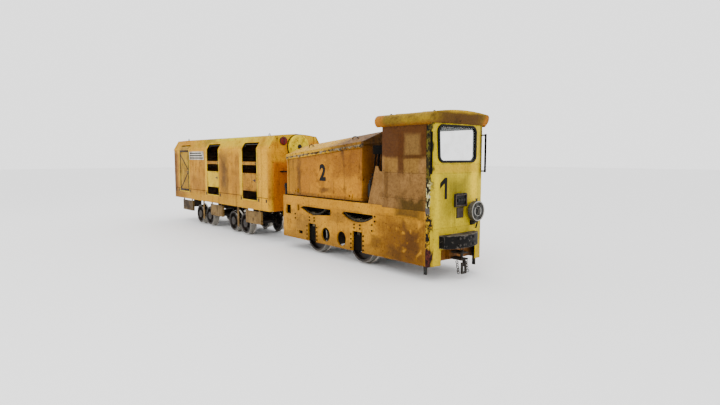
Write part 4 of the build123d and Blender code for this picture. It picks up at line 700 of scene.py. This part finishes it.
# camera, light and floor
view = {"place": (7.638, -4.662, 1.427), "azimuth": 50.036, "down": 5.203, "lens": 25.25}
bpy.ops.object.camera_add(location=view["place"],
                          rotation=(math.radians(90 - view["down"]), 0, math.radians(view["azimuth"])))
camera = bpy.context.object
camera.data.lens = view["lens"]
camera.data.sensor_width = 36
camera.data.sensor_fit = "HORIZONTAL"
camera.data.clip_end = 200
scene.camera = camera

studio = {"floor": 0.87, "sky": 2.1, "key": 300, "fill": 90, "top": 40}
world = bpy.data.worlds.new("studio")
scene.world = world
world.use_nodes = True
world.node_tree.nodes["Background"].inputs["Color"].default_value = (1, 1, 1, 1)
world.node_tree.nodes["Background"].inputs["Strength"].default_value = studio["sky"]


def softLight(name, place, target, size, power):
    bpy.ops.object.light_add(type="AREA", location=place)
    light = bpy.context.object
    light.name = name
    light.data.size = size
    light.data.energy = power
    light.rotation_euler = (Vector(target) - Vector(place)).to_track_quat("-Z", "Y").to_euler()


softLight("keyLight", (6.5, -6.0, 6.5), (0.5, 0, 0.9), 5.0, studio["key"])
softLight("fillLight", (-4.5, -7.0, 4.0), (-1.0, 0, 0.9), 6.0, studio["fill"])
softLight("topLight", (0, 1.0, 8.0), (0, 0, 1.0), 7.0, studio["top"])

clearSelection()
bpy.ops.mesh.primitive_plane_add(size=120, location=(0, 0, 0))
floor = bpy.context.object
floor.name = "studioFloor"
floorPaint, _, floorShader, _ = newMaterial("studioFloorPaint")
floorShader.inputs["Base Color"].default_value = (studio["floor"], studio["floor"], studio["floor"], 1)
floorShader.inputs["Roughness"].default_value = 0.9
floor.data.materials.append(floorPaint)
print("camera, light and floor placed")

# cab: plates in bands with open seams, bolts, doorway and window frames
cab = {"rear": 3.066, "front": 3.788, "face": 0.475, "plate": 0.004,
       "bands": [(0.808, 0.932), (0.939, 1.232), (1.239, 1.796)], "doorway": (3.130, 3.745, 0.835, 1.755),
       "boltPitch": 0.118}


def nearBand(low, high):
    return slab("cabPlate", (cab["rear"], -cab["face"] - cab["plate"], low),
                (cab["front"], -cab["face"], high), 0.0012)


finish(join("cabSidePlates", [nearBand(*band) for band in cab["bands"]]), "loco", paints["cabSide"])
boltCount = int((cab["front"] - cab["rear"]) / cab["boltPitch"])
boltXs = [cab["rear"] + 0.03 + cab["boltPitch"] * i for i in range(boltCount + 1)]
seamBolts = [(x, -cab["face"] - cab["plate"] - 0.002, z) for x in boltXs
             for z in (0.915, 0.957, 1.217, 1.255, 1.775)]
finish(repeated("cabSideBolts", boltHead("y", 0.0065, 0.006), seamBolts), "loco", paints["cabSide"])


def frameStrips(name, left, right, low, high, width, inner, outer):
    y = sorted((inner, outer))
    return join(name, [slab("strip", (left - width, y[0], low), (left, y[1], high + width), 0.0015),
                       slab("strip", (right, y[0], low), (right + width, y[1], high + width), 0.0015),
                       slab("strip", (left, y[0], high), (right, y[1], high + width), 0.0015)])


left, right, low, high = cab["doorway"]
finish(frameStrips("cabDoorwayFrame", left, right, low, high, 0.028, 0.475, 0.482), "loco",
       paints["cabSide"])
finish(slab("cabDoorSill", (left - 0.01, 0.455, 0.826), (right + 0.01, 0.492, 0.836), 0.002), "loco",
       paints["step"])
finish(repeated("cabDoorwayBolts", boltHead("y", 0.006, 0.006),
                [(x, 0.484, z) for x in (left - 0.014, right + 0.014)
                 for z in (0.90, 1.10, 1.30, 1.50, 1.70)]), "loco", paints["cabSide"])


# four strips round a rectangle that faces along X
def rimAround(name, rear, front, left, right, low, high, width, bevel=0.002):
    strips = [(left, low, right, low + width), (left, high - width, right, high),
              (left, low + width, left + width, high - width),
              (right - width, low + width, right, high - width)]
    return join(name, [slab("strip", (rear, y0, z0), (front, y1, z1), bevel) for y0, z0, y1, z1 in strips])


finish(rimAround("rearWindowFrame", 3.054, 3.062, -0.318, 0.318, 1.367, 1.753, 0.028, 0.0015), "loco",
       sealRubber)

# the front sheet is bowed, so what lies on it takes its depth from the same curve
bow = {"half": 0.410, "depth": 0.015, "front": 3.865}
bowRadius = (bow["half"] ** 2 + bow["depth"] ** 2) / (2 * bow["depth"])


def frontX(y):
    return bow["front"] - bowRadius + math.sqrt(bowRadius ** 2 - y * y)


def frontBead(z, start, end):
    steps = 12
    ys = [start + (end - start) * i / steps for i in range(steps + 1)]
    return bar("bead", [(frontX(y), y, z) for y in ys], 0.003)


finish(join("frontWeldBeads", [frontBead(z, -0.40, 0.40) for z in (1.340, 1.236, 0.608)]), "loco",
       paints["cabFront"])


def onBow(piece, lift):
    for vertex in piece.data.vertices:
        vertex.co.x += frontX(vertex.co.y) - bow["front"] + lift
    return piece


# painted numbers: text made into a thin mesh
def numeral(name, digit, middle, height, width):
    clearSelection()
    bpy.ops.object.text_add(location=(0, 0, 0))
    piece = bpy.context.object
    piece.name = name
    piece.data.body = digit
    piece.data.extrude = 0.0006
    piece.data.offset = 0.045
    piece.data.resolution_u = 6
    bpy.ops.object.convert(target="MESH")
    piece = bpy.context.object
    xs, ys = ([vertex.co[axis] for vertex in piece.data.vertices] for axis in range(2))
    grow = (width / (max(xs) - min(xs)), height / (max(ys) - min(ys)))
    for vertex in piece.data.vertices:
        vertex.co.x = (vertex.co.x - (min(xs) + max(xs)) / 2) * grow[0]
        vertex.co.y = (vertex.co.y - (min(ys) + max(ys)) / 2) * grow[1]
    piece.rotation_euler = (math.pi / 2, 0, 0)
    piece.location = middle
    settle(piece)
    return piece


one = {"right": -0.200, "stemLeft": -0.240, "flagLeft": -0.315, "low": 0.942, "high": 1.186,
       "flagThick": 0.062, "proud": 0.001}
flagCuts = [((0, one["flagLeft"], 0), (0, -1, 0)), ((0, 0, one["high"]), (0, 0, 1)),
            ((0, one["stemLeft"], one["high"]), (0, -0.62, 0.78)),
            ((0, one["stemLeft"], one["high"] - one["flagThick"]), (0, 0.62, -0.78))]
digitFront = bow["front"] + one["proud"]
digitParts = [slab("stem", (bow["front"], one["stemLeft"], one["low"]),
                   (digitFront, one["right"], one["high"]), 0),
              slab("flag", (bow["front"], one["flagLeft"], one["high"] - 0.16),
                   (digitFront, one["stemLeft"], one["high"]), 0, flagCuts)]
finish(onBow(join("frontNumber", digitParts), 0.0012), "loco", paints["numeral"])
finish(numeral("batteryNumber", "2", (1.811, -0.4712, 1.2025), 0.240, 0.152), "battery", paints["numeral"])

# headlamp: rims, wing screw, stalk and conduit
lamp = {"y": 0.260, "z": 0.780}
finish(ring("headlampRim", (3.950, lamp["y"], lamp["z"]), 0.113, 0.009), "loco", metals["bright"])
finish(ring("headlampInnerRim", (3.952, lamp["y"], lamp["z"]), 0.058, 0.005), "loco", metals["bright"])
screwParts = [disc("screw", (3.930, lamp["y"], lamp["z"] + 0.128), 0.009, 0.022, "z", 12),
              slab("wing", (3.926, lamp["y"] - 0.022, lamp["z"] + 0.136),
                   (3.934, lamp["y"] + 0.022, lamp["z"] + 0.150))]
finish(join("headlampWingScrew", screwParts), "loco", metals["steel"])
finish(slab("headlampStalk", (3.858, lamp["y"] - 0.035, 0.606), (3.925, lamp["y"] + 0.035, 0.664), 0.006,
            [((3.925, 0, 0.648), (0.6, 0, -0.8))]), "loco", paints["undercarriage"])
finish(bar("headlampConduit", [(3.868, 0.335, 0.56), (3.884, 0.338, 0.60), (3.888, 0.345, 0.70),
                               (3.90, 0.335, 0.76), (3.905, 0.32, 0.78)], 0.009, True), "loco", hoseRubber)

# jumper socket with hinge knuckles, data plate with blank lines
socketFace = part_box("front_fittings")[1].x
finish(rimAround("socketRim", socketFace, socketFace + 0.010, -0.068, 0.136, 0.850, 0.986, 0.012), "loco",
       paints["dataPlate"])
finish(repeated("socketPoles", lambda place: disc("pole", place, 0.021, 0.012, "x", 20, 0.003),
                [(socketFace + 0.005, y, 0.918) for y in (-0.012, 0.034, 0.080)]),
       "loco", metals["iron"])
finish(join("socketHinge", [disc("knuckle", (socketFace + 0.004, y, 0.994), 0.008, 0.04, "y", 12)
                            for y in (-0.03, 0.034, 0.098)]), "loco", metals["iron"])
plateX = frontX(0.03) + 0.006
plateParts = [slab("plate", (plateX, -0.024, 0.716), (plateX + 0.004, 0.088, 0.825))]
plateParts += [slab("line", (plateX + 0.004, -0.014, low), (plateX + 0.005, end, high), 0)
               for end, low, high in ((0.078, 0.800, 0.815), (0.050, 0.774, 0.786), (0.064, 0.750, 0.762),
                                      (0.040, 0.728, 0.738))]
finish(join("dataPlate", plateParts), "loco", paints["dataPlate"])

# near corner: junction block and reflector
finish(slab("cornerBlock", (3.790, -0.482, 0.784), (3.846, -0.470, 0.849), 0.003), "loco", paints["bumper"])
finish(disc("cornerReflector", (3.825, -0.4605, 0.980), 0.020, 0.012, "y", 24, 0.003), "loco",
       metals["bright"])

# roof: welded seams over the crown and lifting eyes
roofTop = {"crown": 1.955, "side": 0.445, "drop": 0.030}
crownRadius = (roofTop["side"] ** 2 + roofTop["drop"] ** 2) / (2 * roofTop["drop"])


def crownZ(y):
    return roofTop["crown"] - crownRadius + math.sqrt(crownRadius ** 2 - y * y)


seams = [bar("seam", [(x, y / 10, crownZ(y / 10)) for y in range(-4, 5)], 0.0035) for x in (3.22, 3.66)]
finish(join("roofSeams", seams), "loco", paints["cabRoof"])
finish(repeated("roofLiftingEyes", lambda place: ring("eye", place, 0.022, 0.006, "x", 20, 8),
                [(x, y, 1.918) for x in (3.10, 3.80) for y in (-0.36, 0.36)]), "loco", metals["iron"])

# battery box: corner angles, foot flange and bolts
box = {"rear": 0.880, "front": 2.687, "half": 0.470, "low": 0.850, "rearTop": 1.411, "frontTop": 1.574}
slopeRate = (box["frontTop"] - box["rearTop"]) / (box["front"] - box["rear"])


def boxTop(x):
    return box["rearTop"] + (x - box["rear"]) * slopeRate


angles = []
for side in (-1, 1):
    y = sorted((side * box["half"], side * (box["half"] + 0.006)))
    angles.append(slab("flange", (box["rear"] - 0.004, y[0], box["low"]),
                       (box["front"] + 0.004, y[1], box["low"] + 0.034)))
    for x in (box["rear"] - 0.004, box["front"] - 0.036):
        top = boxTop(x) - 0.034
        angles.append(slab("angle", (x, y[0], box["low"] + 0.036), (x + 0.040, y[1], top)))
finish(join("batteryAngles", angles), "battery", paints["battery"])
finish(repeated("batteryBolts", boltHead("y", 0.008, 0.007),
                [(0.93 + 0.155 * i, -box["half"] - 0.0095, box["low"] + 0.017) for i in range(12)]),
       "battery", paints["battery"])


# the lid's near edge: beaten sheet with a torn lower edge
def tornStrip(name, startX, endX, y, drop, steps):
    clearSelection()
    bpy.ops.mesh.primitive_grid_add(x_subdivisions=steps, y_subdivisions=3, size=1, location=(0, 0, 0))
    piece = bpy.context.object
    piece.name = name
    for vertex in piece.data.vertices:
        share = vertex.co.x + 0.5
        down = 0.5 - vertex.co.y
        x = startX + (endX - startX) * share
        tear = drop * (0.55 + 0.3 * math.sin(x * 9.0) * math.sin(x * 23.0 + 1.0) + 0.25 * math.sin(x * 57.0))
        bulge = 0.0015 * math.sin(x * 31.0) * down
        vertex.co = (x, y + bulge, boxTop(x) + 0.010 - down * tear - 0.004 * down)
    applyModifier(piece, "SOLIDIFY", thickness=0.002, offset=0)
    pick(piece)
    bpy.ops.object.mode_set(mode="EDIT")
    bpy.ops.mesh.select_all(action="SELECT")
    bpy.ops.mesh.normals_make_consistent(inside=False)
    bpy.ops.object.mode_set(mode="OBJECT")
    bpy.ops.object.shade_smooth_by_angle(angle=creases["smooth"])
    return piece


finish(tornStrip("lidTornEdge", 0.868, 2.718, -0.4885, 0.034, 150), "battery_lid", paints["lidEdge"])
lidRise = {"edge": 0.045, "ridge": 0.185, "share": 0.45}
lidHandles = []
for x in (1.25, 2.30):
    z = boxTop(x) + lidRise["edge"] + (lidRise["ridge"] - lidRise["edge"]) * lidRise["share"]
    handlePoints = [(x - 0.06, -0.262, z + 0.01), (x - 0.06, -0.285, z + 0.045),
                    (x + 0.06, -0.285, z + 0.055), (x + 0.06, -0.262, z + 0.02)]
    lidHandles.append(bar("handle", handlePoints, 0.007, True))
finish(join("lidHandles", lidHandles), "battery_lid", metals["iron"])

# pipes, valve, drum, relay and hose between the battery and the cab and behind the battery
pipes = [bar("pipe", [(2.80, -0.36, 0.84), (2.80, -0.36, 1.10), (2.84, -0.36, 1.16), (2.84, -0.30, 1.22),
                      (2.93, -0.28, 1.30), (3.058, -0.28, 1.32)], 0.014, True),
         bar("pipe", [(2.86, -0.22, 0.84), (2.86, -0.22, 1.02), (2.90, -0.22, 1.10), (3.058, -0.22, 1.14)],
             0.017, True),
         bar("pipe", [(2.78, 0.24, 0.84), (2.78, 0.24, 1.20), (2.86, 0.22, 1.28), (3.058, 0.22, 1.28)],
             0.014, True)]
finish(join("deckPipes", pipes), "loco", paints["undercarriage"])
valve = [slab("valve", (2.735, -0.425, 0.905), (2.785, -0.375, 1.08), 0.006),
         disc("cap", (2.76, -0.40, 1.10), 0.018, 0.05, "z", 20),
         bar("lever", [(2.76, -0.40, 1.12), (2.80, -0.41, 1.16), (2.86, -0.42, 1.18)], 0.007, True),
         disc("drum", (2.90, -0.31, 0.92), 0.062, 0.16, "z", 28, 0.008)]
finish(join("deckValve", valve), "loco", metals["iron"])
relayFittings = [slab("relay", (2.84, -0.430, 1.455), (3.058, -0.200, 1.565), 0.006),
                 slab("clamp", (2.83, -0.445, 1.180), (3.058, -0.425, 1.215), 0.002),
                 slab("clamp", (2.83, -0.445, 0.900), (3.058, -0.425, 0.935), 0.002)]
relayFittings += [bar("pipe", [(x, -0.412, 0.835), (x, -0.412, 1.34), (x + 0.03, -0.405, 1.46)], radius, True)
                  for x, radius in ((2.845, 0.011), (2.905, 0.016), (2.975, 0.012), (3.025, 0.018))]
finish(join("relayFittings", relayFittings), "loco", paints["grease"])
hosePoints = [(0.785, -0.40, 0.86), (0.780, -0.43, 0.93), (0.785, -0.442, 1.00), (0.805, -0.442, 0.95),
              (0.815, -0.44, 0.865)]
finish(join("rearHose", [bar("hose", hosePoints, 0.029, True),
                         disc("collar", (0.800, -0.42, 0.85), 0.044, 0.04, "z", 24, 0.003)]), "loco",
       sealRubber)

# frame: weld runs under the top strip, cab steps on the far side
frameBeads = [bar("bead", [(0.752, side * 0.4745, 0.7055), (2.2, side * 0.4745, 0.706),
                           (3.788, side * 0.4745, 0.7055)], 0.003) for side in (-1, 1)]
finish(join("frameWeldRuns", frameBeads), "loco", paints["frame"])
stepParts = []
for z in (0.262, 0.480):
    stepParts.append(slab("tread", (3.33, 0.476, z), (3.56, 0.520, z + 0.010), 0.002))
    stepParts += [slab("rib", (x, 0.480, z + 0.010), (x + 0.006, 0.516, z + 0.013), 0.001)
                  for x in (3.35 + 0.03 * i for i in range(7))]
for x in (3.326, 3.556):
    stepParts.append(slab("cheek", (x, 0.4755, 0.255), (x + 0.008, 0.520, 0.560), 0.002,
                          [((x, 0.520, 0.49), (0, 0.85, 0.53))]))
finish(join("cabFarSteps", stepParts), "loco", paints["step"])

# bumper bolts and hanging chains
finish(repeated("bumperBolts", boltHead("x", 0.016, 0.012),
                [(4.0105, y, z) for y in (-0.13, -0.06, 0.06, 0.13) for z in (0.415, 0.495)]), "loco",
       metals["steel"])
chains = [ring("link", (3.93 + 0.006 * i, y, 0.206 - 0.030 * i), 0.016, 0.0045, "yx"[i % 2], 18, 8)
          for y in (-0.085, 0.085) for i in range(5)]
finish(join("couplingChains", chains), "loco", metals["steel"])

print("locomotive fittings made")

# man-riding car
car = {"rear": -3.865, "front": 0.417, "wallRear": -3.805, "wallFront": 0.357, "panel": 0.523,
       "outer": 0.5249, "thin": 0.5232, "low": 0.690, "kink": 1.565, "halfDoor": 0.260, "jamb": 0.026,
       "belt": 0.5205, "doors": {"rear": -3.245, "middle": -1.780, "front": -0.275}}
doorEdges = [x + side * car["halfDoor"] for x in sorted(car["doors"].values()) for side in (-1, 1)]
wallEnds = [car["wallRear"], *doorEdges, car["wallFront"]]
spans = list(zip(wallEnds[0::2], wallEnds[1::2]))
rivets = []
for start, end in spans:
    count = max(1, int((end - start - 0.06) / 0.11))
    for i in range(count + 1):
        x = start + 0.03 + (end - start - 0.06) * i / count
        rivets += [(x, -car["panel"] - 0.0005, z) for z in (0.700, 1.540)]
farRivets = [(-3.77 + 0.12 * i, car["panel"] + 0.0005, z) for i in range(35) for z in (0.700, 1.540)]
finish(repeated("carRivets", boltHead("y", 0.007, 0.003), rivets + farRivets), "car", paints["carWall"])
frames = []
for x in car["doors"].values():
    left, right = x - car["halfDoor"], x + car["halfDoor"]
    for edge in (left - car["jamb"], right):
        frames.append(slab("jamb", (edge, -car["outer"], car["low"]),
                           (edge + car["jamb"], -car["panel"], car["kink"]), 0.0008))
    frames.append(slab("sill", (left - car["jamb"], -car["outer"], 0.667),
                       (right + car["jamb"], -car["panel"], car["low"] - 0.004), 0.0008))
# door frames in the lit copy of the door yellow
finish(join("carDoorFrames", frames), "car", paints["doorPaintedLit"])
beltRuns = [(start, end, -car["belt"]) for start, end in spans]
beltRuns.append((car["wallRear"], car["wallFront"], car["belt"]))
belt = [bar("belt", [(start, y, car["kink"]), (end, y, car["kink"])], 0.0042) for start, end, y in beltRuns]
finish(join("carBeltBeads", belt), "car", paints["carRoof"])
brackets = [slab("bracket", (x - 0.022, -car["outer"], 0.640), (x + 0.022, -car["thin"], 0.722), 0.0006)
            for start, end in spans for x in (start + 0.06, end - 0.06) if end - start > 0.2]
finish(join("carPanelBrackets", brackets), "car", paints["undercarriage"])
seams = [slab("seam", (start, -car["outer"], 0.736), (end, -0.5236, 0.744), 0) for start, end in spans]
finish(join("carSillSeam", seams), "car", paints["grease"])

# board with blank lines beside the rear doorway
board = {"left": -2.945, "right": -2.195, "low": 1.360, "high": 1.530, "face": 0.5248}
finish(slab("noticeBoard", (board["left"], -board["face"], board["low"]),
            (board["right"], -car["panel"], board["high"]), 0.0005), "car", paints["boardWhite"])
board.update({"line": (board["high"] - board["low"]) / 7, "margin": 0.03, "shorter": 0.05})
boardLines = [slab("line", (board["left"] + board["margin"], -0.52498,
                            board["low"] + board["line"] * (2 * i + 1)),
                   (board["right"] - board["margin"] - board["shorter"] * i, -board["face"],
                    board["low"] + board["line"] * (2 * i + 2)), 0) for i in range(3)]
finish(join("noticeLines", boardLines), "car", paints["numeral"])

# rear door: flat outline straps and a pair of diagonals
door = {"left": -3.480, "right": -2.990, "low": 0.692, "high": 1.562, "strap": 0.042}


def strap(start, end, width, lift=0.0018):
    run = Vector((end[0] - start[0], end[1] - start[1]))
    middle = ((start[0] + end[0]) / 2, -car["panel"] - lift / 2, (start[1] + end[1]) / 2)
    clearSelection()
    bpy.ops.mesh.primitive_cube_add(size=1, location=middle, rotation=(0, -math.atan2(run.y, run.x), 0))
    piece = bpy.context.object
    piece.name = "strap"
    piece.scale = (run.length, lift, width)
    settle(piece)
    softenEdges(piece, 0.0006)
    return piece


def latch(name, bossX, z, radius, left, right):
    return join(name, [disc("boss", (bossX, -0.528, z), radius, 0.010, "y", 24, 0.003),
                       slab("lever", (left, -board["face"], z - 0.008), (right, -car["thin"], z + 0.008),
                            0.0005)])


half = door["strap"] / 2
outline = [strap((door["left"], z), (door["right"], z), door["strap"])
           for z in (door["low"] + half, door["high"] - half)]
outline += [strap((x, door["low"] + door["strap"]), (x, door["high"] - door["strap"]), door["strap"])
            for x in (door["left"] + half, door["right"] - half)]
outline += [strap((door["left"] + 0.034, hingeZ), (door["right"] - 0.034, freeZ), 0.034, 0.0012)
            for hingeZ, freeZ in ((0.74, 1.10), (1.46, 1.14))]
finish(join("guardDoorStraps", outline), "guard_door", paints["doorOutline"])
finish(latch("guardDoorLatch", -3.035, 1.10, 0.022, -3.12, -3.03), "guard_door", metals["iron"])
trim = 0.022
# trims of the middle door in the lit copy, of the front door in the shaded copy: painted light and shade
for place, paintName in (("middle", "doorPaintedLit"), ("front", "doorPaintedShade")):
    x = car["doors"][place]
    leftX, rightX = x - 0.235, x + 0.254
    trims = [strap((leftX, z), (rightX, z), trim) for z in (0.848, 1.127)]
    trims += [strap((edge, 0.86), (edge, 1.115), trim) for edge in (leftX + trim / 2, rightX - trim / 2)]
    finish(join(place + "HalfDoorTrim", trims), "half_door_" + place, paints[paintName])
    finish(latch(place + "HalfDoorLatch", x + 0.195, 1.02, 0.026, x + 0.12, x + 0.20), "half_door_" + place,
           metals["iron"])
    finish(join(place + "BarEnd", [disc("boss", (x + 0.225, -0.527, 1.310), 0.018, 0.008, "y", 20, 0.002),
                                   disc("boss", (x - 0.20, -0.527, 1.310), 0.012, 0.006, "y", 20, 0.002)]),
           "safety_bar_" + place, metals["iron"])
grabPoints = ((-0.25, 1.60), (-0.25, 1.635), (0.25, 1.635), (0.25, 1.60))
grabRails = [bar("rail", [(car["doors"][doorway] + dx, -0.455, z) for dx, z in grabPoints], 0.010)
             for doorway in ("middle", "front")]
finish(join("carGrabRails", grabRails), "car", metals["steel"])

# benches: seat and back boards with gaps, between the bulkheads
bench = {"seatPitch": 0.090, "board": 0.082, "seat": 1.080, "back": 1.19, "backPitch": 0.115,
         "backHigh": 0.095}
boards = []
for start, end in ((-3.839, -2.512), (-2.506, -1.028), (-1.022, 0.391)):
    for edge, way in ((start + 0.020, 1), (end - 0.020, -1)):
        for i in range(4):
            near = edge + way * (0.006 + bench["seatPitch"] * i)
            xs = sorted((near, near + way * bench["board"]))
            boards.append(slab("board", (xs[0], -0.450, bench["seat"]),
                               (xs[1], 0.450, bench["seat"] + 0.014), 0.003, (), 1))
        xs = sorted((edge - way * 0.012, edge + way * 0.006))
        for i in range(3):
            z = bench["back"] + bench["backPitch"] * i
            boards.append(slab("board", (xs[0], -0.440, z), (xs[1], 0.440, z + bench["backHigh"]), 0.003,
                               (), 1))
finish(join("benchBoards", boards), "car", timber)


# arched lower plate on each end, with bolts round its edge
arch = {"middle": 0.920, "radius": 0.400, "legs": 0.335, "bolts": 0.38}


def archPlate(name, face, way):
    piece = disc(name, (face + way * 0.002, 0, arch["middle"]), arch["radius"], 0.004, "x", 64, 0)
    cutBehind(piece, (0, 0, arch["middle"]), (0, 0, -1))
    for side in piece.data.polygons:
        side.select = side.normal.z < -0.9 and side.center.z < arch["middle"] + 0.005
    bpy.ops.object.mode_set(mode="EDIT")
    bpy.ops.mesh.extrude_region_move(TRANSFORM_OT_translate={"value": (0, 0, -arch["legs"])})
    bpy.ops.object.mode_set(mode="OBJECT")
    softenEdges(piece, 0.001)
    return piece


for name, face, way in (("frontArchPlate", car["front"], 1), ("rearArchPlate", car["rear"], -1)):
    finish(archPlate(name, face, way), "car", paints["carEnd"])
    arc = [math.radians(a) for a in range(0, 181, 15)]
    places = [(face + way * 0.006, arch["bolts"] * math.cos(a),
               arch["middle"] + arch["bolts"] * math.sin(a)) for a in arc]
    places += [(face + way * 0.006, y, z) for y in (-arch["bolts"], arch["bolts"])
               for z in (0.62, 0.72, 0.82)]
    finish(repeated(name + "Bolts", boltHead("x", 0.008, 0.006), places), "car", paints["carEnd"])
    seamsAt = [bar("seam", [(face + way * 0.001, y, 0.56), (face + way * 0.001, y, 1.60)], 0.003)
               for y in (-0.455, 0.455)]
    finish(join(name + "Seams", seamsAt), "car", paints["carEnd"])

# on the car's front end: vent rim, marker lamp guard and brake pipe
vent = {"y": 0.020, "z": 1.590}
finish(ring("ventRim", (0.424, vent["y"], vent["z"]), 0.199, 0.011, "x", 56, 8), "car",
       paints["doorOutline"])
finish(disc("ventHub", (0.485, vent["y"], vent["z"]), 0.040, 0.012, "x", 32, 0.004), "car", metals["iron"])
marker = {"y": -0.262, "z": 1.683}
guardPoints = [(x, marker["y"], marker["z"] + dz) for x, dz in (
    (0.437, -0.068), (0.466, -0.043), (0.470, 0), (0.466, 0.043), (0.437, 0.068))]
finish(join("markerLampBezel", [ring("bezel", (0.440, marker["y"], marker["z"]), 0.062, 0.007, "x", 40, 8),
                                bar("guard", guardPoints, 0.003, True)]), "car", metals["iron"])
pipeY = -0.175
pipeLine = [(0.415, 0.905), (0.460, 0.905), (0.476, 0.880), (0.476, 0.800), (0.460, 0.770), (0.415, 0.765)]
hose = [bar("pipe", [(x, pipeY, z) for x, z in pipeLine], 0.017, True)]
hose += [disc("collar", (0.423, pipeY, z), 0.028, 0.012, "x", 20) for z in (0.905, 0.766)]
finish(join("endBrakePipe", hose), "car", hoseRubber)

# roof straps over the bulkheads and at the ends, lifting eyes
roofLine = [(-0.522, 1.567), (-0.4045, 1.7630), (0, 1.8000), (0.4045, 1.7630), (0.522, 1.567)]
straps = [bar("strap", [(x, y, z) for y, z in roofLine], 0.005)
          for x in (-3.855, -2.56, -2.46, -1.075, -0.975, 0.407)]
finish(join("carRoofStraps", straps), "car", paints["carRoof"])
finish(repeated("carRoofEyes", lambda place: ring("eye", place, 0.024, 0.006, "y", 20, 8),
                [(x, y, 1.788) for x in (-3.5, 0.05) for y in (-0.3, 0.3)]), "car", metals["iron"])

# bolts on the bogie frames
for place in ("front", "rear"):
    frameLow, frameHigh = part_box("bogie_frame_" + place)
    centre = (frameLow.x + frameHigh.x) / 2
    finish(repeated(place + "BogieBolts", boltHead("y", 0.011, 0.010),
                    [(centre + dx, side * 0.239, z) for dx in (-0.20, -0.08, 0.08, 0.20)
                     for side in (-1, 1) for z in (0.24, 0.275)]), "bogie_" + place, metals["iron"])
print("car fittings made")


# seat: the two pads swell out of their plain blocks, the cushion gets piping
def pad(name, low, high):
    shrink = 0.008
    limit = 0.010
    piece = slab(name, [a + shrink for a in low], [b - shrink for b in high], 0.018, (), 4)
    applyModifier(piece, "REMESH", mode="VOXEL", voxel_size=0.008)
    start = [vertex.co.copy() for vertex in piece.data.vertices]
    pick(piece)
    cloth = piece.modifiers.new("cloth", "CLOTH")
    cloth.settings.use_pressure = True
    cloth.settings.uniform_pressure_force = 4
    cloth.settings.effector_weights.gravity = 0
    for number in range(1, 17):
        scene.frame_set(number)
    bpy.ops.object.modifier_apply(modifier=cloth.name)
    scene.frame_set(1)
    for vertex, first in zip(piece.data.vertices, start):
        moved = vertex.co - first
        if moved.length > limit:
            vertex.co = first + moved * (limit / moved.length)
    for vertex in piece.data.vertices:
        for axis in range(3):
            vertex.co[axis] = min(max(vertex.co[axis], low[axis] - 0.002), high[axis] + 0.004)
    applyModifier(piece, "SUBSURF", levels=1, render_levels=1)
    pick(piece)
    bpy.ops.object.shade_smooth()
    return piece


seatLow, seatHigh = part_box("seat_cushions")
split = {"cushionRear": 3.150, "backFront": 3.148, "cushionTop": 0.985, "backLow": 0.990}
cushion = pad("seatCushion", (split["cushionRear"], seatLow.y, seatLow.z),
              (seatHigh.x, seatHigh.y, split["cushionTop"]))
backPad = pad("seatBackPad", (seatLow.x, seatLow.y, split["backLow"]),
              (split["backFront"], seatHigh.y, seatHigh.z))
for piece in (cushion, backPad):
    finish(piece, "loco", seatLeather)
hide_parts("seat_cushions")
seamZ = 0.950
inset = 0.008
pipingX = (split["cushionRear"] + inset, seatHigh.x - inset)
pipingY = (seatLow.y + inset, seatHigh.y - inset)
pipingPoints = [(pipingX[i], pipingY[j], seamZ) for i, j in ((0, 0), (1, 0), (1, 1), (0, 1))]
finish(bar("seatPiping", pipingPoints, 0.004, False, True), "loco", seatLeather)
print("seat made")
